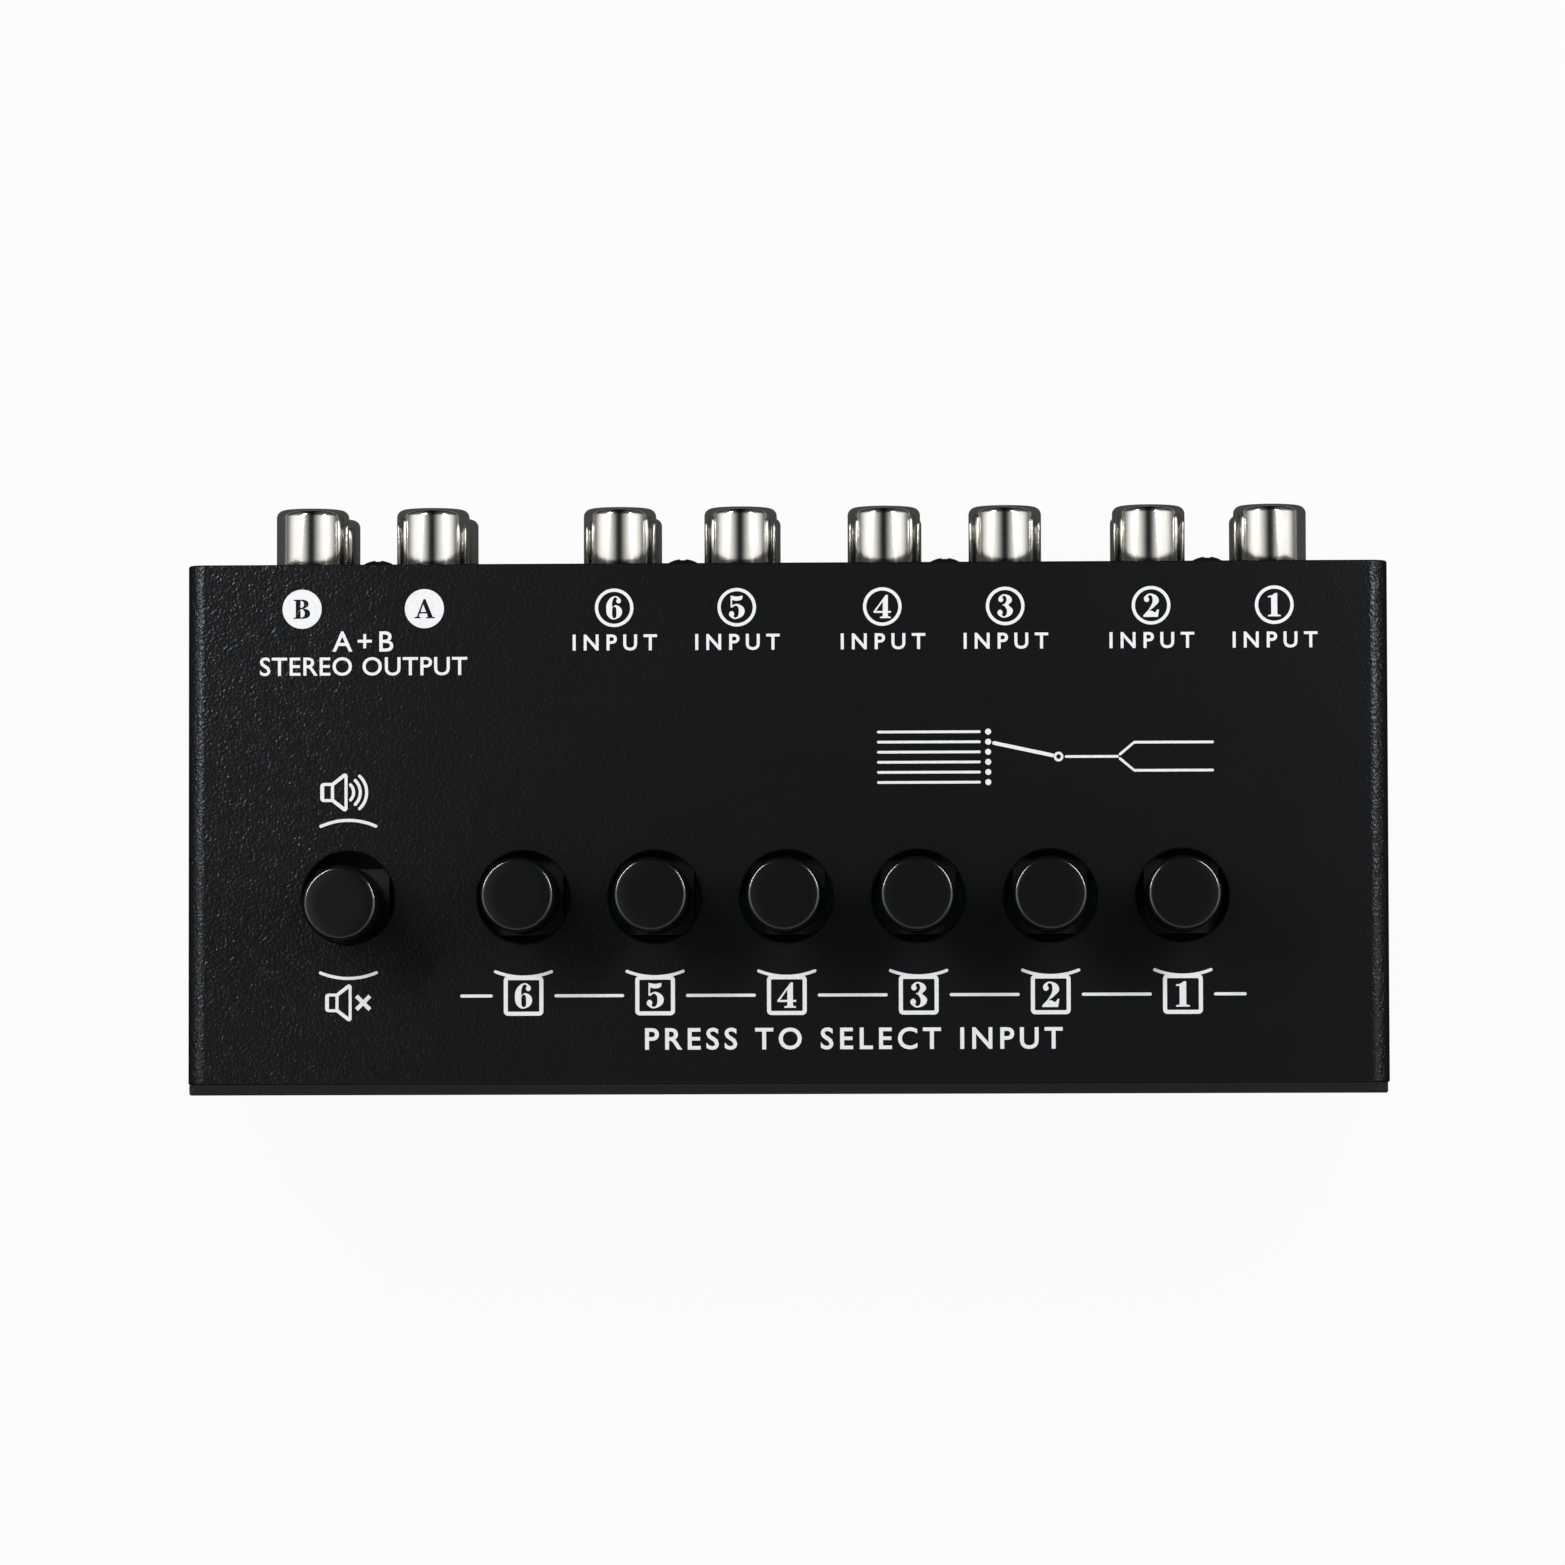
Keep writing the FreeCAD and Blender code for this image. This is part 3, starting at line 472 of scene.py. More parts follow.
def dull_when_slanted(material, gloss, stops, socket="Specular IOR Level"):
    """Lets a gloss fall off from face-on to edge-on."""
    tree = material.node_tree
    gloss_level = levels_of(tree, slant_of(tree), stops, gloss)
    tree.links.new(gloss_level, tree.nodes["Principled BSDF"].inputs[socket])


def new_powder_coat(name, depth):
    """A black coat whose colour drifts a little and whose grain has a depth."""
    coat, shader = new_finish(name, coat_light, coat_roughness)
    shader.inputs["Specular Tint"].default_value = coat_gloss_tint
    tree = coat.node_tree
    grain = noise_on(coat, grain_size, detail=1.0)
    patches = levels_of(tree, noise_on(coat, patch_size, detail=1.0), patch_stops)
    flow = levels_of(tree, share_along(tree, "X", cover_low.x, cover_high.x), flow_stops)
    uneven_grain = new_math(tree, "MULTIPLY", new_math(tree, "SUBTRACT", grain, 0.5), patches)
    add_relief(coat, new_math(tree, "MULTIPLY", uneven_grain, flow), depth)
    vary_colour(coat, noise_on(coat, drift_size, detail=3.0), coat_dark, coat_light)
    dull_when_slanted(coat, coat_gloss, coat_slant_stops)
    return coat


cover_coat = new_powder_coat("cover_coat", grain_depth)
tray_coat = new_powder_coat("tray_coat", grain_depth * tray_grain_share)
tree = tray_coat.node_tree
tray_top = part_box("base_tray")[1].z
# painted sheen: the coat's colour is raised near the tray's upper edge
near_sheen_edge = share_along(tree, "Z", tray_top - tray_edge_sheen_fade[0], tray_top - tray_edge_sheen_fade[1])
coat_colour = tree.nodes["Principled BSDF"].inputs["Base Color"]
painted_sheen_gain = ramp_of(tree, near_sheen_edge, tray_edge_sheen_stops)
tree.links.new(vector_math(tree, "MULTIPLY", coat_colour.links[0].from_socket, painted_sheen_gain), coat_colour)
print("coat's grain", round(grain_size / mm, 2), "mm across and", round(grain_depth / mm, 2), "mm deep")

# %% [markdown]
# ## Screen-print ink
# The markings are printed on the rough coat with thick white ink. It fills the pebbles only in
# part, so it keeps a weak copy of their relief and small differences in cover.

# %% Ink
ink_white = (0.9, 0.91, 0.92)
ink_thin = (0.84, 0.855, 0.87)
ink_full = (0.93, 0.935, 0.94)
ink_grain_size = 0.5 * mm
ink_grain_depth = 0.02 * mm
ink, _ = new_finish("screen_print_ink", ink_white, 0.55, specular=0.3)
ink_cover = noise_on(ink, ink_grain_size, detail=3.0)
vary_colour(ink, ink_cover, ink_thin, ink_full, span=(0.3, 0.5))
add_relief(ink, ink_cover, ink_grain_depth, strength=0.5)
print("ink's grain", round(ink_grain_size / mm, 2), "mm across")

# %% [markdown]
# ## Metals
# The shells are bright nickel: smooth, slightly warm, with a very fine grain that breaks up the
# borders of what they mirror. Contacts are tin plated and duller, the pillars are turned
# brass, and the inner screws are zinc plated. The screws that show are blackened.

# %% Metals
nickel_grain_size = 0.12 * mm
nickel_grain_depth = 0.0018 * mm
nickel_haze_size = 2.5 * mm
nickel, _ = new_finish("bright_nickel", (0.71, 0.7, 0.66), 0.11, metallic=1.0)
nickel_grain = noise_on(nickel, nickel_grain_size, detail=2.0)
vary_value(nickel, nickel_grain, "Roughness", 0.08, 0.15)
nickel_haze = noise_on(nickel, nickel_haze_size, detail=3.0)
vary_colour(nickel, nickel_haze, (0.68, 0.67, 0.63), (0.74, 0.73, 0.695))
add_relief(nickel, nickel_grain, nickel_grain_depth)


def hazy_metal(name, dark, light, haze_size, smoothest, roughest, detail=3.0):
    """A metal whose colour and roughness drift together."""
    metal, _ = new_finish(name, light, roughest, metallic=1.0)
    haze = noise_on(metal, haze_size, detail=detail)
    vary_value(metal, haze, "Roughness", smoothest, roughest)
    vary_colour(metal, haze, dark, light)
    return metal


tin = hazy_metal("tin_plate", (0.5, 0.49, 0.47), (0.6, 0.59, 0.57), 0.8 * mm, 0.25, 0.45)
zinc = hazy_metal("zinc_plate", (0.46, 0.47, 0.48), (0.56, 0.57, 0.59), 0.7 * mm, 0.22, 0.42)
spring_wire = hazy_metal("spring_steel", (0.42, 0.42, 0.43), (0.55, 0.55, 0.56), 0.4 * mm, 0.22, 0.4, 2.0)

brass, _ = new_finish("turned_brass", (0.58, 0.42, 0.17), 0.3, metallic=1.0)
turning_marks = noise_on(brass, 0.1 * mm, detail=2.0, stretch=(20, 20, 1))
vary_value(brass, turning_marks, "Roughness", 0.22, 0.4)
vary_colour(brass, noise_on(brass, 1.5 * mm), (0.5, 0.35, 0.13), (0.62, 0.46, 0.2))

black_oxide, _ = new_finish("black_oxide", (0.008, 0.008, 0.0085), 0.38)
oxide_haze = noise_on(black_oxide, 0.35 * mm, detail=3.0)
vary_value(black_oxide, oxide_haze, "Roughness", 0.28, 0.46)
vary_colour(black_oxide, oxide_haze, (0.006, 0.006, 0.0065), (0.01, 0.01, 0.0105))
add_relief(black_oxide, oxide_haze, 0.006 * mm, 0.4)
dull_when_slanted(black_oxide, 0.45, ((0.3, 1.0), (0.6, 0.15), (1.0, 0.0)))
print("metals", [metal.name for metal in (nickel, tin, zinc, spring_wire, brass, black_oxide)])

# %% [markdown]
# ## Plastics, rubber and circuit boards
# The caps are black, glossy and almost without texture, so their rims draw clean bright arcs,
# and they are duller where they slant, so that each rim stays a thin line. The other plastics
# differ in gloss and in how much light grain the mould left in them.

# %% Plastics and rubber


def moulded_plastic(name, dark, light, roughness, grain_size, specular=0.5):
    """A plastic whose colour and gloss drift a little, with a mould's grain."""
    material, _ = new_finish(name, light, roughness, specular=specular)
    drift = noise_on(material, 3.0 * mm, detail=2.0)
    fine = noise_on(material, grain_size, detail=2.0)
    vary_colour(material, drift, dark, light)
    vary_value(material, fine, "Roughness", roughness * 0.85, roughness * 1.15)
    add_relief(material, fine, grain_size * 0.02, 0.3)
    return material


cap_slant_stops = ((0.09, 1.0), (0.14, 0.2), (0.3, 0.06), (1.0, 0.0))
cap_black = moulded_plastic("cap_plastic", (0.0029, 0.004, 0.0047), (0.0033, 0.0044, 0.0053), 0.16, 0.1 * mm)
dull_when_slanted(cap_black, 1.0, cap_slant_stops)
dull_when_slanted(cap_black, 0.2, cap_slant_stops, "Coat Weight")
white_gloss = moulded_plastic("white_jack_plastic", (0.74, 0.73, 0.69), (0.8, 0.79, 0.75), 0.22, 0.3 * mm)
red_gloss = moulded_plastic("red_jack_plastic", (0.46, 0.014, 0.014), (0.54, 0.022, 0.02), 0.22, 0.3 * mm)
jack_black = moulded_plastic("jack_plastic", (0.012, 0.012, 0.013), (0.017, 0.017, 0.018), 0.45, 0.25 * mm)
switch_black = moulded_plastic("switch_plastic", (0.018, 0.018, 0.019), (0.023, 0.023, 0.024), 0.4, 0.2 * mm)
plunger_white = moulded_plastic("plunger_plastic", (0.55, 0.55, 0.52), (0.62, 0.62, 0.6), 0.4, 0.2 * mm)
header_black = moulded_plastic("header_plastic", (0.012, 0.012, 0.012), (0.017, 0.017, 0.017), 0.5, 0.2 * mm)
foot_rubber = moulded_plastic("rubber", (0.011, 0.011, 0.011), (0.016, 0.016, 0.016), 0.75, 0.15 * mm, 0.3)
solder_mask = moulded_plastic("green_solder_mask", (0.005, 0.044, 0.016), (0.007, 0.06, 0.022), 0.3, 0.5 * mm)
plastics = (cap_black, white_gloss, red_gloss, jack_black, switch_black, plunger_white, header_black)
print("plastics", [plastic.name for plastic in plastics], "and", foot_rubber.name)

# %% [markdown]
# ## Finishes by slot
# The record gives every node a material slot, so one table dresses all the nodes that keep
# their own shape. Pieces that are modelled below take the same materials.

# %% Dress the frame's nodes
finish_of_slot = {
    "black_powder_coat": cover_coat,
    "black_screw": black_oxide,
    "foot_rubber": foot_rubber,
    "nickel_shell": nickel,
    "white_insert": white_gloss,
    "red_insert": red_gloss,
    "jack_plastic": jack_black,
    "tinned_metal": tin,
    "cap_plastic": cap_black,
    "plunger_plastic": plunger_white,
    "switch_plastic": switch_black,
    "spring_steel": spring_wire,
    "circuit_board": solder_mask,
    "header_plastic": header_black,
    "spacer_brass": brass,
    "zinc_screw": zinc,
}
for subpart in frame["record"]["subparts"]:
    node = frame["nodes"][subpart["node"]]
    for material_slot in node.material_slots:
        material_slot.material = finish_of_slot[subpart["material_slot"]]
frame["nodes"]["base_tray"].material_slots[0].material = tray_coat

# %% [markdown]
# ## How a round piece is made
# Caps, shells, inserts, screws and feet are all turned shapes. Each starts as a few points of
# a profile, given as (radius, height) in millimetres, joined by edges and spun once round the
# Z axis. Rounded stretches come from an arc, so that they are as fine as they need to be.

# %% Helpers for turned pieces
weld_distance = 0.0005 * mm
shortest_edge = 0.0001 * mm


def arc(centre, radius, start_deg, end_deg, steps=6):
    """Points on an arc of a profile, both ends included."""
    angles = [math.radians(start_deg + (end_deg - start_deg) * i / steps) for i in range(steps + 1)]
    return [(centre[0] + radius * math.cos(a), centre[1] + radius * math.sin(a)) for a in angles]


def close_up(bm):
    """Merges doubled points, so that poles close, and turns every face outwards."""
    bmesh.ops.remove_doubles(bm, verts=bm.verts, dist=weld_distance)
    bmesh.ops.dissolve_degenerate(bm, edges=bm.edges, dist=shortest_edge)
    bmesh.ops.recalc_face_normals(bm, faces=bm.faces)


def mesh_from(bm, name, sharp_deg=35):
    """Ends a bmesh as a smooth mesh whose sharper edges stay sharp."""
    for face in bm.faces:
        face.smooth = True
    limit = math.radians(sharp_deg)
    for edge in bm.edges:
        if len(edge.link_faces) == 2 and edge.calc_face_angle(0) > limit:
            edge.smooth = False
    mesh = bpy.data.meshes.new(name)
    bm.to_mesh(mesh)
    bm.free()
    return mesh


def turned(name, profile, segments):
    """The mesh of a profile of (radius, height) points in millimetres, spun once round Z."""
    bm = bmesh.new()
    corners = [bm.verts.new((radius * mm, 0, height * mm)) for radius, height in profile]
    edges = [bm.edges.new(pair) for pair in zip(corners, corners[1:])]
    bmesh.ops.spin(
        bm,
        geom=corners + edges,
        cent=(0, 0, 0),
        axis=(0, 0, 1),
        angle=math.tau,
        steps=segments,
        use_merge=True,
        use_duplicate=False,
    )
    close_up(bm)
    return mesh_from(bm, name)


def add_piece(name, mesh, material, body="chassis", replaced=()):
    """Puts a finished mesh in the scene, on a body, in place of the nodes that it stands for."""
    piece = bpy.data.objects.new(name, mesh)
    scene.collection.objects.link(piece)
    if not mesh.materials:
        mesh.materials.append(material)
    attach(piece, body)
    if replaced:
        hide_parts(*replaced)
    return piece


def copies_of(mesh, name, placements):
    """One mesh that holds a copy of another at each placement matrix."""
    bm = bmesh.new()
    for placement in placements:
        part = mesh.copy()
        part.transform(placement)
        bm.from_mesh(part)
        bpy.data.meshes.remove(part)
    joined = bpy.data.meshes.new(name)
    bm.to_mesh(joined)
    bm.free()
    return joined


def facing_back(place, y):
    """The placement of a piece that points to the rear, in line with a place and with its foot at y."""
    return Matrix.Translation((place.x, y, place.z)) @ Matrix.Rotation(math.radians(-90), 4, "X")


# %% [markdown]
# ## Button caps
# A cap is a plain round pin with a flat top. What makes it look real is its rim: a rounding of
# half a millimetre, smooth enough to carry an unbroken highlight. Its underside is
# hollow, with the socket that grips the plunger.

# %% Caps
cap_low, cap_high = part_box("channel_1_cap")
cap_radius = (cap_high.x - cap_low.x) / 2 / mm
cap_length = (cap_high.z - cap_low.z) / mm
cap_rounding = 0.5
cap_foot_rounding = 0.15
socket_radius = 2.3
socket_depth = 5.0
face_ring_share = 0.6

cap_profile = [(0, socket_depth), (socket_radius, socket_depth), (socket_radius, 0)]
cap_profile += arc((cap_radius - cap_foot_rounding, cap_foot_rounding), cap_foot_rounding, -90, 0, 3)
cap_profile += arc((cap_radius - cap_rounding, cap_length - cap_rounding), cap_rounding, 0, 90, 8)
cap_profile += [(cap_radius * face_ring_share, cap_length), (0, cap_length)]
for name in button_names:
    cap_mesh = turned(f"{name}_button_cap", cap_profile, 96)
    cap_mesh.transform(Matrix.Translation(box_foot(f"{name}_cap")))
    add_piece(f"{name}_button_cap", cap_mesh, cap_black, f"{name}_button", [f"{name}_cap"])
print("caps", len(button_names), "of radius", round(cap_radius, 2), "mm")

# %% [markdown]
# ## Jack shells
# A shell is a drawn sleeve. Its rim rolls over inwards, which shows as the soft dark line at
# the tip, and a narrower neck holds it in the block. The four shells of a block are one piece.

# %% Shells
shells_low, shells_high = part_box("inputs_2_1_jack_shells")
shell_length = (shells_high.y - shells_low.y) / mm
rear_wall_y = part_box("base_tray")[1].y
body_start = (rear_wall_y - shells_low.y) / mm
outer = shell_radius / mm
wall = 0.4
neck_step = 0.3
rim = 0.9
root_rounding = 0.25

shell_profile = [(outer - neck_step - wall, 0), (outer - neck_step, 0), (outer - neck_step, body_start)]
shell_profile += arc((outer - root_rounding, body_start + root_rounding), root_rounding, -90, 0, 3)
shell_profile += arc((outer - rim, shell_length - rim), rim, 0, 90, 10)
shell_profile += arc((outer - rim, shell_length - rim), rim - wall, 90, 0, 6)
shell_profile += [(outer - wall, body_start + wall), (outer - neck_step - wall, body_start + wall)]
shell_profile += [shell_profile[0]]
one_shell = turned("one_shell", shell_profile, 96)
for block, labels in jack_blocks.items():
    places = [jack_axis(label, side) for side in ("left", "right") for label in labels]
    placements = [facing_back(place, shells_low.y) for place in places]
    shells = copies_of(one_shell, f"{block}_nickel_shells", placements)
    add_piece(f"{block}_nickel_shells", shells, nickel, replaced=[f"{block}_jack_shells"])
print("shells", 2 * len(jack_labels), "of length", round(shell_length, 2), "mm")

# %% [markdown]
# ## Jack inserts
# Inside each shell sits a plastic plug, white for the left channel and red for the right. Its
# face has a raised collar round the hole that a phono plug's pin enters, and a shallow groove
# round the collar.

# %% Inserts
hole_mount = mounts["jack_1_left_pin_hole"]
hole_radius = hole_mount["dims"]["r_mm"]
insert_low, insert_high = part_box("inputs_2_1_white_inserts")
insert_length = (insert_high.y - insert_low.y) / mm
hole_bottom = (hole_mount["pos_m"][1] - insert_low.y) / mm - hole_mount["dims"]["length_mm"] / 2
clearance = 0.05
nose = outer - rim - clearance
shoulder_height = shell_length - rim - clearance + (shells_low.y - insert_low.y) / mm
step_height = body_start + wall + clearance + (shells_low.y - insert_low.y) / mm
collar_radius = 2.35
groove_radius = 2.85
groove_depth = 0.35
face_rounding = 0.12
mouth_chamfer = 0.35
contact_socket_radius = 1.98

insert_profile = [
    (contact_socket_radius, 0),
    (outer - neck_step - wall - clearance, 0),
    (outer - neck_step - wall - clearance, step_height),
    (outer - wall - clearance, step_height),
    (outer - wall - clearance, shoulder_height),
    (nose, shoulder_height),
]
insert_profile += arc((nose - face_rounding, insert_length - face_rounding), face_rounding, 0, 90, 4)
insert_profile += [(groove_radius, insert_length), (groove_radius, insert_length - groove_depth)]
insert_profile += [(collar_radius, insert_length - groove_depth)]
insert_profile += arc((collar_radius - face_rounding, insert_length - face_rounding), face_rounding, 0, 90, 4)
insert_profile += [
    (hole_radius + mouth_chamfer, insert_length),
    (hole_radius, insert_length - mouth_chamfer),
    (hole_radius, hole_bottom),
    (contact_socket_radius, hole_bottom),
    (contact_socket_radius, 0),
]
one_insert = turned("one_insert", insert_profile, 72)
for block, labels in jack_blocks.items():
    for side, colour, material in (("left", "white", white_gloss), ("right", "red", red_gloss)):
        places = [jack_axis(label, side) for label in labels]
        placements = [facing_back(place, insert_low.y) for place in places]
        name = f"{block}_{colour}_plugs"
        plugs = copies_of(one_insert, name, placements)
        add_piece(name, plugs, material, replaced=[f"{block}_{colour}_inserts"])
print("inserts", 2 * len(jack_labels), "with holes of radius", hole_radius, "mm")

# %% [markdown]
# ## Screws
# The screws that show have domed pan heads with a cross recess. The recess tapers as it goes
# down, as a driver's tip does, so it is cut with a tapered cross. A Boolean modifier does the
# cut and its result is kept as the mesh.

# %% Screws
screw_shaft_radius = 1.45
screw_length = 5.0
screw_tip_share = 0.7
screw_tip_length = 0.6
head_edge = 0.1
skirt_share = 0.4
dome_share = 0.62
dome_reach = 0.94
recess_depth = 1.0
cutter_overlap = 0.4
recess_wings = ((2.8, 0.85), (1.7, 0.5))


def tapered_bar(bm, top, bottom, depth):
    """Adds a bar that narrows downwards; top and bottom are its (length, width)."""
    made = bmesh.ops.create_cube(bm, size=1)["verts"]
    for vert in made:
        length, width = top if vert.co.z > 0 else bottom
        vert.co.x *= length * mm
        vert.co.y *= width * mm
        vert.co.z = cutter_overlap * mm if vert.co.z > 0 else -depth * mm
    return made


def applied(obj):
    """The mesh of an object with its modifiers carried out; the object itself is removed."""
    graph = bpy.context.evaluated_depsgraph_get()
    mesh = bpy.data.meshes.new_from_object(obj.evaluated_get(graph), depsgraph=graph)
    bpy.data.objects.remove(obj)
    return mesh


def cut_with(mesh, cutters):
    """The mesh with each cutter mesh taken out of it."""
    blank = bpy.data.objects.new("blank", mesh)
    scene.collection.objects.link(blank)
    tools = []
    for cutter in cutters:
        tool = bpy.data.objects.new("tool", cutter)
        scene.collection.objects.link(tool)
        cut = blank.modifiers.new("cut", "BOOLEAN")
        cut.operation = "DIFFERENCE"
        cut.object = tool
        cut.solver = "EXACT"
        tools.append(tool)
    result = applied(blank)
    for tool in tools:
        bpy.data.objects.remove(tool)
    return result


def recess_bar(angle, head_height):
    """One of the two crossing bars of a screw's recess, at its depth in the head."""
    bm = bmesh.new()
    verts = tapered_bar(bm, recess_wings[0], recess_wings[1], recess_depth)
    bmesh.ops.rotate(bm, verts=verts, cent=(0, 0, 0), matrix=Matrix.Rotation(angle, 3, "Z"))
    bmesh.ops.translate(bm, verts=verts, vec=(0, 0, head_height * mm))
    bar = bpy.data.meshes.new("recess_bar")
    bm.to_mesh(bar)
    bm.free()
    return bar


def pan_screw(head_radius, head_height):
    """A screw that points down Z, with its domed head on z 0."""
    dome_height = head_height * dome_share
    dome_radius = (head_radius**2 + dome_height**2) / (2 * dome_height)
    dome_angle = math.degrees(math.asin(head_radius * dome_reach / dome_radius))
    profile = [(0, -screw_length), (screw_shaft_radius * screw_tip_share, -screw_length)]
    profile += [(screw_shaft_radius, -screw_length + screw_tip_length), (screw_shaft_radius, 0)]
    profile += [(head_radius - head_edge, 0), (head_radius, head_edge)]
    profile += [(head_radius, head_height * skirt_share)]
    profile += arc((0, head_height - dome_radius), dome_radius, 90 - dome_angle, 90, 10)
    bars = [recess_bar(0, head_height), recess_bar(math.radians(90), head_height)]
    return cut_with(turned("plain_screw", profile, 64), bars)


# %% [markdown]
# The jack screws stand in the middle of each block of four, and the cover screws at the ends
# of the box's sides, where the corners of their nodes' boxes give their places.

# %% Screw places
jack_screws_low, jack_screws_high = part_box("jack_screws")
jack_head_radius = (jack_screws_high.z - jack_screws_low.z) / 2 / mm
jack_head_height = (jack_screws_high.y - rear_wall_y) / mm
jack_screw_places = []
for labels in jack_blocks.values():
    places = [jack_axis(label, side) for label in labels for side in ("left", "right")]
    jack_screw_places.append(facing_back(sum(places, Vector()) / len(places), rear_wall_y))
jack_screw = pan_screw(jack_head_radius, jack_head_height)
jack_screw_mesh = copies_of(jack_screw, "jack_pan_screws", jack_screw_places)
add_piece("jack_pan_screws", jack_screw_mesh, black_oxide, replaced=["jack_screws"])

screws_low, screws_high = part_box("cover_screws")
cover_head_radius = (screws_high.z - screws_low.z) / 2 / mm
cover_head_height = (screws_high.x - cover_high.x) / mm
cover_screw_places = []
for side in (-1, 1):
    for y in (screws_low.y + cover_head_radius * mm, screws_high.y - cover_head_radius * mm):
        place = Matrix.Translation((side * cover_high.x, y, (screws_low.z + screws_high.z) / 2))
        cover_screw_places.append(place @ Matrix.Rotation(math.radians(90 * side), 4, "Y"))
cover_screw = pan_screw(cover_head_radius, cover_head_height)
cover_screw_mesh = copies_of(cover_screw, "cover_pan_screws", cover_screw_places)
add_piece("cover_pan_screws", cover_screw_mesh, black_oxide, replaced=["cover_screws"])
print("heads", round(jack_head_radius, 2), round(jack_head_height, 2), round(cover_head_radius, 2), "mm")

# %% [markdown]
# ## Feet
# Moulded rubber feet, slightly tapered, with a rounded sole and a shallow dish in it, so that
# they grip a shelf.

# %% Feet
feet_low, feet_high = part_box("rubber_feet")
foot_radius = 4.5
foot_edge = 0.1
foot_height = (feet_high.z - feet_low.z) / mm
sole_radius = 4.2
sole_rounding = 0.6
dish_radius = 2.4
dish_depth = 0.35

foot_profile = [(0, foot_height), (foot_radius - foot_edge, foot_height)]
foot_profile += [(foot_radius, foot_height - foot_edge)]
foot_profile += arc((sole_radius - sole_rounding, sole_rounding), sole_rounding, 0, -90, 6)
foot_profile += [(dish_radius, 0), (dish_radius - dish_depth, dish_depth), (0, dish_depth)]
one_foot = turned("one_foot", foot_profile, 64)
foot_places = [
    Matrix.Translation((x, y, 0))
    for x in (feet_low.x + foot_radius * mm, feet_high.x - foot_radius * mm)
    for y in (feet_low.y + foot_radius * mm, feet_high.y - foot_radius * mm)
]
feet_mesh = copies_of(one_foot, "moulded_feet", foot_places)
add_piece("moulded_feet", feet_mesh, foot_rubber, replaced=["rubber_feet"])
print("feet", len(foot_places), "of radius", foot_radius, "and height", round(foot_height, 2), "mm")

# %% [markdown]
# ## Return springs
# Inside each switch a coil spring stands round the plunger's guide. The wire's round section
# is spun about the coil's axis and shifted along it at every step, which makes a helix. When a
# button goes down, its spring grows shorter by the same travel.

# %% Springs
spring_turns = 3
steps_per_turn = 24
wire_sides = 12
wire_radius = 0.25 * mm
coil_steps = spring_turns * steps_per_turn
for name in button_names:
    low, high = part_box(f"{name}_return_spring")
    foot = box_foot(f"{name}_return_spring")
    coil_radius = (high.x - low.x) / 2 - wire_radius
    rise = high.z - low.z - 2 * wire_radius
    upright = Matrix.Translation((coil_radius, 0, wire_radius)) @ Matrix.Rotation(math.radians(90), 4, "X")
    bm = bmesh.new()
    bmesh.ops.create_circle(bm, segments=wire_sides, radius=wire_radius, matrix=upright)
    bmesh.ops.spin(
        bm,
        geom=bm.verts[:] + bm.edges[:],
        cent=(0, 0, 0),
        axis=(0, 0, 1),
        dvec=(0, 0, rise / coil_steps),
        angle=math.tau * spring_turns,
        steps=coil_steps,
        use_duplicate=False,
    )
    bmesh.ops.holes_fill(bm, edges=[edge for edge in bm.edges if edge.is_boundary], sides=wire_sides)
    close_up(bm)
    bmesh.ops.translate(bm, verts=bm.verts, vec=foot)
    coil_mesh = mesh_from(bm, f"{name}_coil_spring")
    coil = add_piece(
        f"{name}_coil_spring", coil_mesh, spring_wire, replaced=[f"{name}_return_spring"]
    )
    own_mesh(coil)

# %% [markdown]
# ## Print: how a marking is made
# Screen print is flat ink with crisp outlines. Flat curves suit it: Blender fills a closed
# outline and leaves an outline inside it open, as a letter's counter needs. The curves are
# drawn in millimetres, become a mesh, and are then scaled and laid on the cover.

# %% Helpers for print
ink_height = 0.03
ink_sink = 0.008
font_cap_share = 0.729
print_weld_distance = 0.0001
print_sheet = Matrix.Translation((0, 0, top_z - ink_sink * mm)) @ Matrix.Scale(mm, 4)
curve = "AUTO"
corner = "VECTOR"


def ink_curve(outlines):
    """A flat filled curve from closed outlines of (x, y) corners and (x, y, curve) points."""
    data = bpy.data.curves.new("ink", "CURVE")
    data.dimensions = "2D"
    data.fill_mode = "BOTH"
    data.resolution_u = 8
    data.extrude = ink_height / 2
    for outline in outlines:
        spline = data.splines.new("BEZIER")
        spline.bezier_points.add(len(outline) - 1)
        for point, values in zip(spline.bezier_points, outline):
            point.co = (values[0], values[1], 0)
            kind = values[2] if len(values) > 2 else corner
            point.handle_left_type = kind
            point.handle_right_type = kind
        spline.use_cyclic_u = True
    return data


def ink_text(words, cap_height, x, y, spacing=1.0, weight=0.0):
    """Words in Blender's own font, centred on a place."""
    data = bpy.data.curves.new("words", "FONT")
    data.body = words
    data.size = cap_height / font_cap_share
    data.align_x = "CENTER"
    data.space_character = spacing
    data.offset = weight
    data.extrude = ink_height / 2
    data.resolution_u = 4
    mesh = flat_mesh(data)
    mesh.transform(Matrix.Translation((x, y - cap_height / 2, 0)))
    return mesh


def flat_mesh(data):
    """A curve or text as a mesh, still in millimetres, standing on z 0."""
    carrier = bpy.data.objects.new("carrier", data)
    scene.collection.objects.link(carrier)
    mesh = applied(carrier)
    mesh.transform(Matrix.Translation((0, 0, ink_height / 2)))
    return mesh


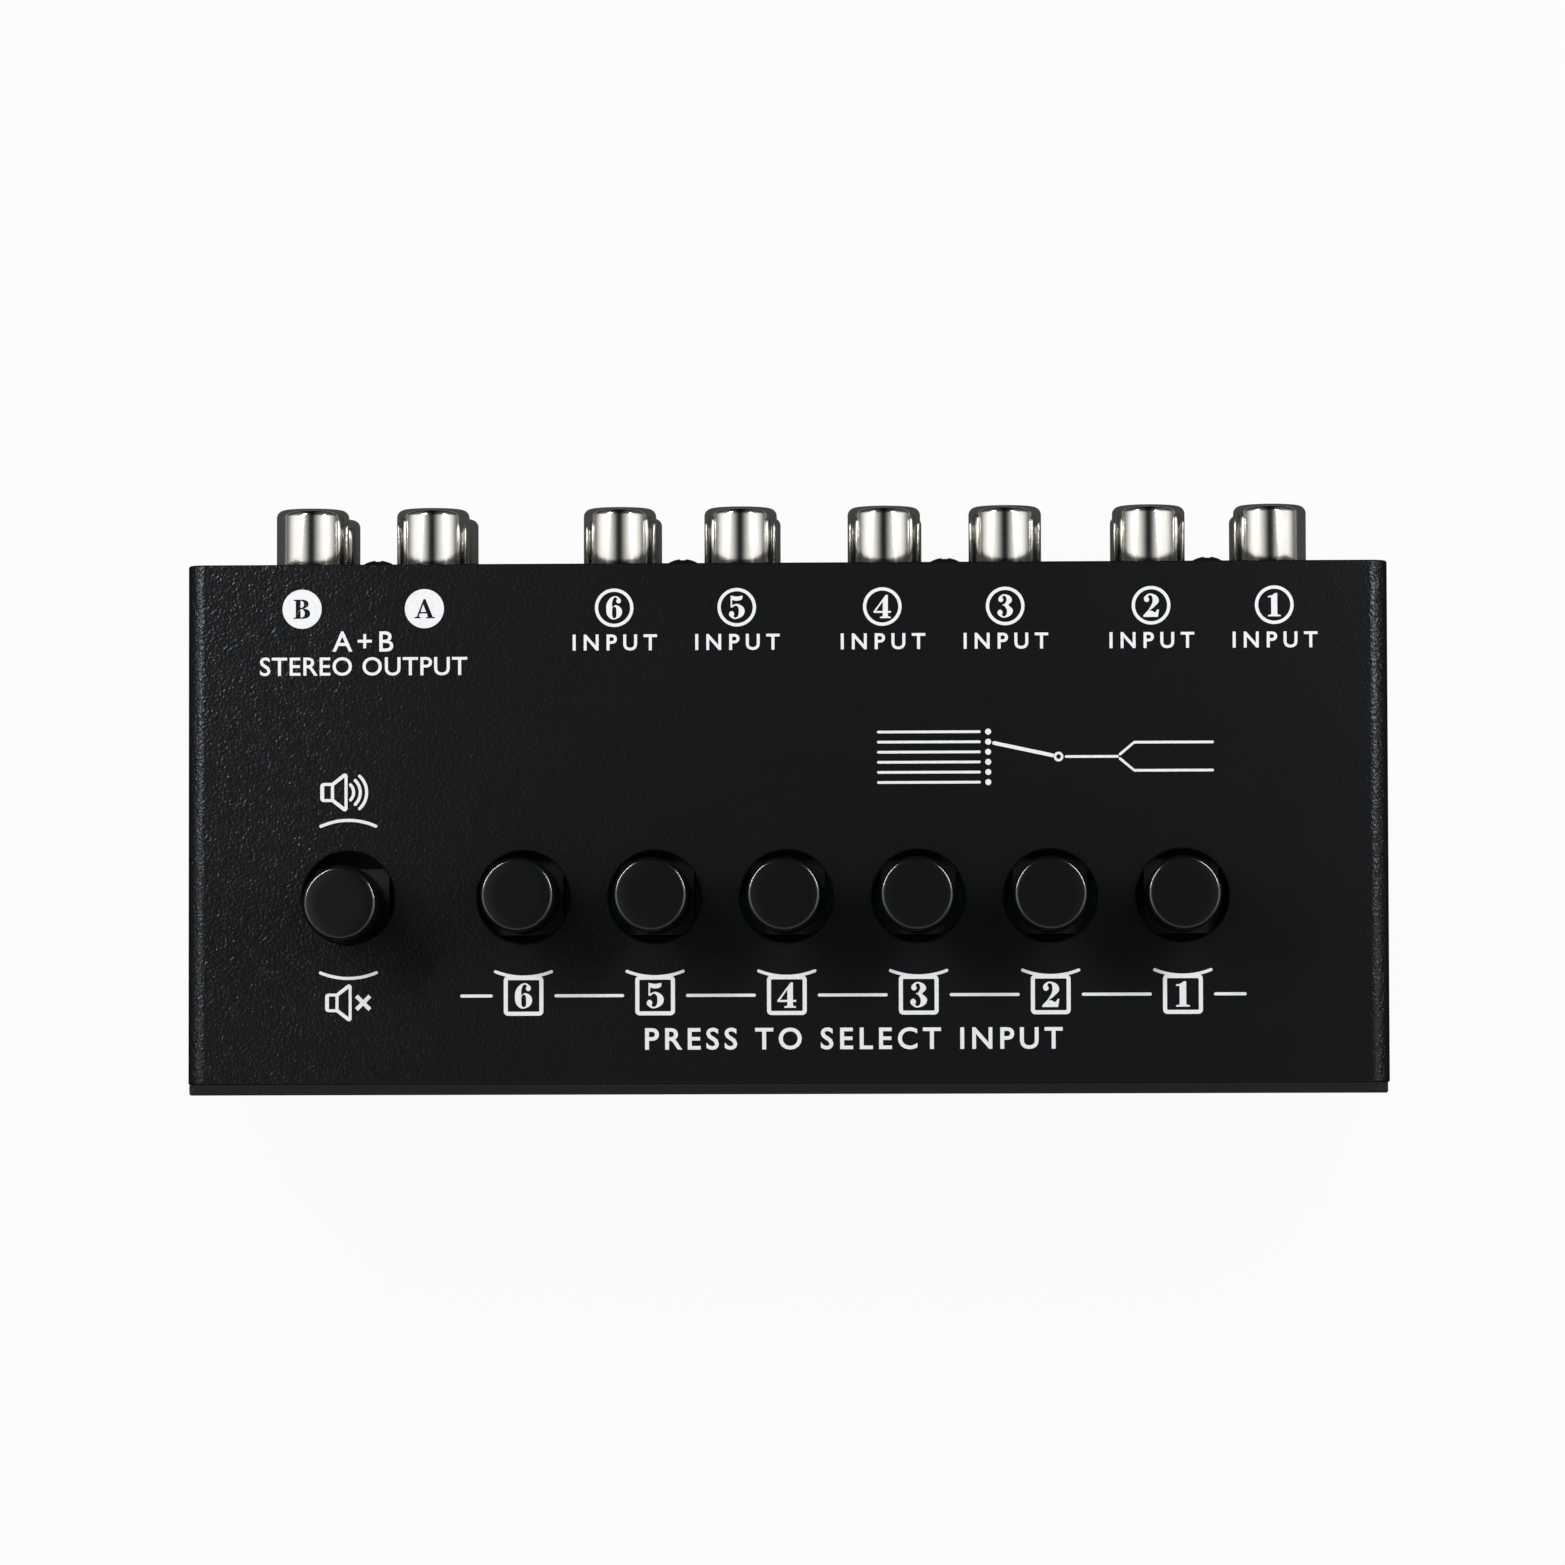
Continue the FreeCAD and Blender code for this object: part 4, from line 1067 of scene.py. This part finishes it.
def print_piece(name, meshes, lift=0.0):
    """Joins flat meshes drawn in millimetres into one print piece on the cover."""
    bm = bmesh.new()
    for mesh in meshes:
        bm.from_mesh(mesh)
    bmesh.ops.remove_doubles(bm, verts=bm.verts, dist=print_weld_distance)
    bmesh.ops.translate(bm, verts=bm.verts, vec=(0, 0, lift))
    bmesh.ops.transform(bm, matrix=print_sheet, verts=bm.verts)
    printed = bpy.data.meshes.new(name)
    bm.to_mesh(printed)
    bm.free()
    printed.materials.append(ink)
    return add_piece(name, printed, ink)


# %% [markdown]
# ## Print: outlines
# Rings, discs and rounded squares come from short formulas. A printed line is its own outline
# too: both sides of the line and a half circle at each end.

# %% Outlines


def circle(x, y, radius, points=56):
    """A circle's outline."""
    return [
        (x + radius * math.cos(math.tau * i / points), y + radius * math.sin(math.tau * i / points))
        for i in range(points)
    ]


def rounded_square(x, y, half, radius, steps=5):
    """The outline of a square with round corners."""
    outline = []
    for quarter, (side_x, side_y) in enumerate(((1, 1), (-1, 1), (-1, -1), (1, -1))):
        centre = (x + side_x * (half - radius), y + side_y * (half - radius))
        outline += arc(centre, radius, 90 * quarter, 90 * (quarter + 1), steps)
    return outline


def line_outline(path, width, steps=6):
    """The outline of a printed line along a path of (x, y) points, with round ends."""
    points = [Vector(point) for point in path]
    last = len(points) - 1
    ahead = [(points[min(i + 1, last)] - points[max(i - 1, 0)]).normalized() for i in range(last + 1)]
    half = width / 2
    left = [point + Vector((-way.y, way.x)) * half for point, way in zip(points, ahead)]
    right = [point - Vector((-way.y, way.x)) * half for point, way in zip(points, ahead)]
    end_turn = math.degrees(math.atan2(ahead[-1].y, ahead[-1].x))
    start_turn = math.degrees(math.atan2(ahead[0].y, ahead[0].x))
    end_cap = arc(points[-1], half, end_turn + 90, end_turn - 90, steps)[1:-1]
    start_cap = arc(points[0], half, start_turn - 90, start_turn - 270, steps)[1:-1]
    return [tuple(p) for p in left] + end_cap + [tuple(p) for p in reversed(right)] + start_cap


def bow(x, y, width, rise, points=14):
    """A shallow arc through (x, y) whose ends lie sideways by half the width and up by the rise."""
    radius = width**2 / (8 * rise) + rise / 2
    half_deg = math.degrees(math.asin(width / 2 / abs(radius)))
    middle_deg = -90 if rise > 0 else 90
    return arc((x, y + radius), abs(radius), middle_deg - half_deg, middle_deg + half_deg, points)


def moved(outlines, x, y, scale=1.0):
    """Outlines scaled about their origin and moved; the kind of each point is kept."""
    return [[(x + p[0] * scale, y + p[1] * scale, *p[2:]) for p in outline] for outline in outlines]


# %% [markdown]
# ## Print: figures and letters
# The figures are bold with strong contrast: thick stems, hairlines, and round drops where a
# stroke ends. Each is drawn once, one unit high, with as few points as its shape needs; a
# point is a corner unless it says that it is part of a smooth curve.

# %% Figures and letters
figures = {
    "1": [
        [
            (-0.27, 0.0), (0.27, 0.0), (0.27, 0.055), (0.13, 0.085),
            (0.13, 1.0), (0.03, 1.0), (-0.1, 0.91, curve), (-0.27, 0.875),
            (-0.27, 0.82), (-0.13, 0.82), (-0.13, 0.085), (-0.27, 0.055),
        ],
    ],
    "2": [
        [
            (-0.3, 0.75, curve), (-0.22, 0.93, curve), (0.02, 1.0, curve), (0.33, 0.73, curve),
            (0.15, 0.45, curve), (-0.1, 0.26), (0.03, 0.26, curve), (0.17, 0.2, curve),
            (0.27, 0.32), (0.34, 0.32), (0.29, 0.0), (-0.33, 0.0),
            (-0.33, 0.07), (-0.07, 0.37, curve), (0.07, 0.73, curve), (-0.03, 0.94, curve),
            (-0.13, 0.87, curve), (-0.08, 0.74, curve), (-0.19, 0.64, curve),
        ],
    ],
    "3": [
        [
            (-0.29, 0.77, curve), (-0.2, 0.94, curve), (0.02, 1.0, curve), (0.29, 0.77, curve),
            (0.13, 0.545), (0.33, 0.28, curve), (0.0, 0.0, curve), (-0.24, 0.07, curve),
            (-0.33, 0.22, curve), (-0.22, 0.34, curve), (-0.11, 0.23, curve), (-0.14, 0.11, curve),
            (-0.03, 0.055, curve), (0.08, 0.28, curve), (-0.03, 0.515), (-0.1, 0.515),
            (-0.1, 0.57), (-0.03, 0.57), (0.06, 0.77, curve), (-0.03, 0.945, curve),
            (-0.12, 0.88, curve), (-0.08, 0.77, curve), (-0.19, 0.67, curve),
        ],
    ],
    "4": [
        [
            (0.24, 1.0), (0.24, 0.31), (0.37, 0.31), (0.37, 0.23),
            (0.24, 0.23), (0.24, 0.085), (0.36, 0.055), (0.36, 0.0),
            (-0.1, 0.0), (-0.1, 0.055), (0.02, 0.085), (0.02, 0.23),
            (-0.37, 0.23), (-0.37, 0.3), (0.15, 1.0),
        ],
        [(0.02, 0.31), (-0.27, 0.31), (0.02, 0.72)],
    ],
    "5": [
        [
            (-0.26, 1.0), (0.0, 0.96, curve), (0.25, 1.0), (0.23, 0.86, curve),
            (0.02, 0.78, curve), (-0.2, 0.82), (-0.2, 0.58), (0.05, 0.64, curve),
            (0.34, 0.32, curve), (0.0, 0.0, curve), (-0.25, 0.07, curve), (-0.33, 0.22, curve),
            (-0.22, 0.33, curve), (-0.11, 0.22, curve), (-0.14, 0.11, curve), (-0.03, 0.055, curve),
            (0.09, 0.31, curve), (-0.02, 0.57, curve), (-0.19, 0.49), (-0.26, 0.49),
        ],
    ],
    "6": [
        [
            (0.29, 0.79, curve), (0.2, 0.94, curve), (0.03, 1.0, curve), (-0.26, 0.8, curve),
            (-0.34, 0.45, curve), (-0.25, 0.12, curve), (0.01, 0.0, curve), (0.34, 0.31, curve),
            (0.09, 0.61, curve), (-0.09, 0.52), (-0.07, 0.8, curve), (0.04, 0.95, curve),
            (0.13, 0.89, curve), (0.09, 0.79, curve), (0.19, 0.69, curve),
        ],
        [(0.01, 0.55, curve), (0.1, 0.31, curve), (0.01, 0.05, curve), (-0.09, 0.31, curve)],
    ],
}
letters = {
    "A": [
        [
            (-0.04, 1.0), (0.06, 1.0), (0.43, 0.08), (0.54, 0.055),
            (0.54, 0.0), (0.08, 0.0), (0.08, 0.055), (0.18, 0.08),
            (0.12, 0.25), (-0.24, 0.25), (-0.29, 0.08), (-0.19, 0.055),
            (-0.19, 0.0), (-0.53, 0.0), (-0.53, 0.055), (-0.4, 0.08),
        ],
        [(-0.2, 0.33), (0.09, 0.33), (-0.06, 0.72)],
    ],
    "B": [
        [
            (-0.45, 1.0), (0.04, 1.0), (0.2, 0.965), (0.31, 0.88), (0.345, 0.76), (0.31, 0.645), (0.19, 0.56),
            (0.06, 0.535), (0.26, 0.5), (0.39, 0.405), (0.43, 0.27), (0.38, 0.12), (0.25, 0.03), (0.06, 0.0),
            (-0.45, 0.0), (-0.45, 0.055), (-0.33, 0.08), (-0.33, 0.92), (-0.45, 0.945),
        ],
        [(-0.08, 0.93), (0.0, 0.925), (0.07, 0.87), (0.1, 0.755), (0.07, 0.64), (0.0, 0.575), (-0.08, 0.57)],
        [(-0.08, 0.5), (0.02, 0.49), (0.11, 0.41), (0.145, 0.28), (0.11, 0.15), (0.02, 0.075), (-0.08, 0.07)],
    ],
}

# %% [markdown]
# ## Print: the jacks' labels
# Each input has its number in a ring in front of its pair of jacks, with a word under it. The
# two outputs have their letter left open in a white disc. Both of them play at the same time,
# which the words between and under the discs say.

# %% Jack labels
label_setback = 5.1
word_setback = 9.0
ring_radius = 2.2
ring_stroke = 0.37
ring_figure_height = 2.65
disc_radius = 2.24
disc_letter_height = 2.2
line_width = 0.35
input_word_height = 1.85
input_word_spacing = 1.5
input_word_weight = 0.045
both_word_height = 2.4
both_word_spacing = 1.3
both_word_setback = 8.75
output_word_height = 2.15
output_word_spacing = 1.06
output_word_setback = 11.6
output_word_weight = 0.03
label_y = rear_edge_y / mm - label_setback
jack_x = {label: jack_axis(label, "left").x / mm for label in jack_labels}

ring_meshes = []
for label in input_labels:
    x = jack_x[label]
    ring = [circle(x, label_y, ring_radius), circle(x, label_y, ring_radius - ring_stroke)]
    figure = moved(figures[label], x, label_y - ring_figure_height / 2, ring_figure_height)
    ring_meshes.append(flat_mesh(ink_curve(ring + figure)))
print_piece("input_number_rings", ring_meshes)

disc_meshes = []
for label in ("B", "A"):
    x = jack_x[label]
    letter = moved(letters[label], x, label_y - disc_letter_height / 2, disc_letter_height)
    disc_meshes.append(flat_mesh(ink_curve([circle(x, label_y, disc_radius)] + letter)))
print_piece("output_letter_discs", disc_meshes)

word_y = rear_edge_y / mm - word_setback
jack_words = [
    ink_text("INPUT", input_word_height, jack_x[label], word_y, input_word_spacing, input_word_weight)
    for label in input_labels
]
output_middle_x = (jack_x["B"] + jack_x["A"]) / 2
for words, height, setback, spacing in (
    ("A+B", both_word_height, both_word_setback, both_word_spacing),
    ("STEREO OUTPUT", output_word_height, output_word_setback, output_word_spacing),
):
    y = rear_edge_y / mm - setback
    jack_words.append(ink_text(words, height, output_middle_x, y, spacing, output_word_weight))
print_piece("jack_words", jack_words)
print("labels of", len(ring_meshes), "inputs and", len(disc_meshes), "outputs")

# %% [markdown]
# ## Print: the buttons' marks
# In front of each channel button an arc and a numbered square say which input it selects, and
# lines join the squares into a row. The arcs follow the buttons' holes.

# %% Channel marks
square_setback = 11.24
square_y = button_row_y / mm - square_setback
square_half = 2.26
square_stroke = 0.46
square_corner = 0.5
square_inner_corner = 0.12
square_figure_height = 2.88
bow_setback = 9.1
bow_width = 6.4
bow_rise = 0.62
bow_lift = 0.004
line_gap = 3.7
end_line_length = 3.35
select_setback = 54.2
select_height = 2.5
select_spacing = 1.3
select_weight = 0.055
channel_x = {label: button_middle[f"channel_{label}"].x / mm for label in input_labels}

square_meshes = []
arc_outlines = []
for label in input_labels:
    x = channel_x[label]
    square = [
        rounded_square(x, square_y, square_half, square_corner),
        rounded_square(x, square_y, square_half - square_stroke, square_inner_corner),
    ]
    figure = moved(figures[label], x, square_y - square_figure_height / 2, square_figure_height)
    square_meshes.append(flat_mesh(ink_curve(square + figure)))
    bow_path = bow(x, button_row_y / mm - bow_setback, bow_width, bow_rise)
    arc_outlines.append(line_outline(bow_path, line_width))
print_piece("channel_number_squares", square_meshes)

row_lines = []
for left_label, right_label in zip(input_labels, input_labels[1:]):
    start = (channel_x[left_label] + line_gap, square_y)
    end = (channel_x[right_label] - line_gap, square_y)
    row_lines.append(line_outline([start, end], line_width))
first_x = channel_x[input_labels[0]] - line_gap
last_x = channel_x[input_labels[-1]] + line_gap
row_lines.append(line_outline([(first_x - end_line_length, square_y), (first_x, square_y)], line_width))
row_lines.append(line_outline([(last_x, square_y), (last_x + end_line_length, square_y)], line_width))
print_piece("channel_row_lines", [flat_mesh(ink_curve(row_lines))])

select_x = (channel_x[input_labels[0]] + channel_x[input_labels[-1]]) / 2
select_y = rear_edge_y / mm - select_setback
select_words = ink_text(
    "PRESS TO SELECT INPUT", select_height, select_x, select_y, select_spacing, select_weight
)
print_piece("select_words", [select_words])
print("squares", len(square_meshes), "and lines", len(row_lines))

# %% [markdown]
# ## Print: the mute button's signs
# A loudspeaker with sound waves stands behind the mute button, for the button out, and a
# crossed one in front of it, for the button pressed. They are the signs on any such device.

# %% Mute signs
sign_stroke = 0.35
sound_shift = (-3.22, 12.03)
muted_shift = (-2.66, -11.97)
muted_scale = 0.97
# how far each wave's middle lies from the sign's start, its height and its depth
wave_shapes = ((3.82, 1.72, 0.36), (4.58, 2.74, 0.58), (5.31, 3.72, 0.81))
cross_shift = 1.69
cross_half = 0.77
cross_width = 0.46


def loudspeaker(scale):
    """The outlines of a loudspeaker: its box and its cone, one unit per millimetre."""
    outline = [
        (0.0, 0.7), (0.08, 0.93), (0.25, 1.06), (0.45, 1.09), (1.32, 1.09), (2.58, 2.08), (2.78, 2.17),
        (3.0, 2.12), (3.12, 1.92), (3.12, -1.92), (3.0, -2.12), (2.78, -2.17), (2.58, -2.08), (1.32, -1.09),
        (0.45, -1.09), (0.25, -1.06), (0.08, -0.93), (0.0, -0.7),
    ]
    box_inside = [(0.45, 0.75), (1.22, 0.75), (1.22, -0.75), (0.45, -0.75)]
    cone_inside = [(1.58, 0.78), (2.74, 1.68), (2.78, 1.62), (2.78, -1.62), (2.74, -1.68), (1.58, -0.78)]
    return moved([outline, box_inside, cone_inside], 0, 0, scale)


def bow_sideways(x, y, height, depth):
    """A shallow arc that bulges to the right through (x, y)."""
    return [(x + y - along, y + across - x) for across, along in bow(x, y, height, depth)]


sound_x = mute_x / mm + sound_shift[0]
sound_y = button_row_y / mm + sound_shift[1]
waves = [
    line_outline(bow_sideways(sound_x + apex, sound_y, height, depth), sign_stroke)
    for apex, height, depth in wave_shapes
]
muted_x = mute_x / mm + muted_shift[0]
muted_y = button_row_y / mm + muted_shift[1]
cross_x = mute_x / mm + cross_shift
cross_arm = cross_width / 2 / math.sqrt(2)
near_corner = cross_half - cross_arm
far_corner = cross_half + cross_arm
arm_corners = ((2 * cross_arm, 0), (far_corner, near_corner), (near_corner, far_corner))
cross_outline = []
for turn_deg in range(0, 360, 90):
    quarter_turn = Matrix.Rotation(math.radians(turn_deg), 2)
    for arm_corner in arm_corners:
        point = quarter_turn @ Vector(arm_corner)
        cross_outline.append((cross_x + point.x, muted_y + point.y))
signs = moved(loudspeaker(1.0), sound_x, sound_y) + waves
signs += moved(loudspeaker(muted_scale), muted_x, muted_y) + [cross_outline]
print_piece("mute_signs", [flat_mesh(ink_curve(signs))])

# the place, width and rise of the two arcs of the mute button
mute_bow_shapes = ((8.84, 6.3, -0.68), (-9.19, 6.4, 0.64))
mute_bows = [
    line_outline(bow(mute_x / mm, button_row_y / mm + shift, width, rise), line_width)
    for shift, width, rise in mute_bow_shapes
]
print_piece("button_bows", [flat_mesh(ink_curve(arc_outlines + mute_bows))], lift=bow_lift)
print("signs", len(signs), "outlines, arcs", len(arc_outlines + mute_bows))

# %% [markdown]
# ## Print: a wiring sign
# The right half of the cover carries a small plain diagram, drawn for this model: six inlets,
# one of which is switched through to two outlets.

# %% Wiring sign
sign_x = 29.5
sign_setback = 22.3
sign_y = rear_edge_y / mm - sign_setback
sign_half_length = 19.0
wire_width = 0.3
inlet_count = 6
inlet_pitch = 1.15
switched_inlet = 1
inlet_end_x = sign_x - 7.5
dot_x = inlet_end_x + 1.0
dot_radius = 0.34
dot_gap = 0.35
wiper_width = 0.42
pivot_x = sign_x + 1.5
pivot_radius = 0.55
pivot_stroke = 0.28
pivot_gap = 0.15
trunk_gap = 0.3
fork_x = pivot_x + 7.0
fork_gap = 0.25
fork_length = 1.6
outlet_rise = 1.6
diagram = []
inlet_y = [sign_y + ((inlet_count - 1) / 2 - i) * inlet_pitch for i in range(inlet_count)]
for y in inlet_y:
    diagram.append(line_outline([(sign_x - sign_half_length, y), (inlet_end_x, y)], wire_width))
    diagram.append(circle(dot_x, y, dot_radius, points=24))
wiper_start = Vector((dot_x, inlet_y[switched_inlet]))
pivot = Vector((pivot_x, sign_y))
wiper_way = (pivot - wiper_start).normalized()
near_dot = wiper_start + wiper_way * (dot_radius + dot_gap)
near_pivot = pivot - wiper_way * (pivot_radius + pivot_gap)
diagram.append(line_outline([tuple(near_dot), tuple(near_pivot)], wiper_width))
diagram.append(circle(pivot_x, sign_y, pivot_radius, points=32))
diagram.append(circle(pivot_x, sign_y, pivot_radius - pivot_stroke, points=24))
trunk = [(pivot_x + pivot_radius + trunk_gap, sign_y), (fork_x - trunk_gap, sign_y)]
diagram.append(line_outline(trunk, wire_width))
for side in (-1, 1):
    y = sign_y + side * outlet_rise
    branch = [(fork_x, sign_y + side * fork_gap), (fork_x + fork_length, y), (sign_x + sign_half_length, y)]
    diagram.append(line_outline(branch, wire_width))
print_piece("wiring_sign", [flat_mesh(ink_curve(diagram))])
print("wiring sign", len(diagram), "outlines")
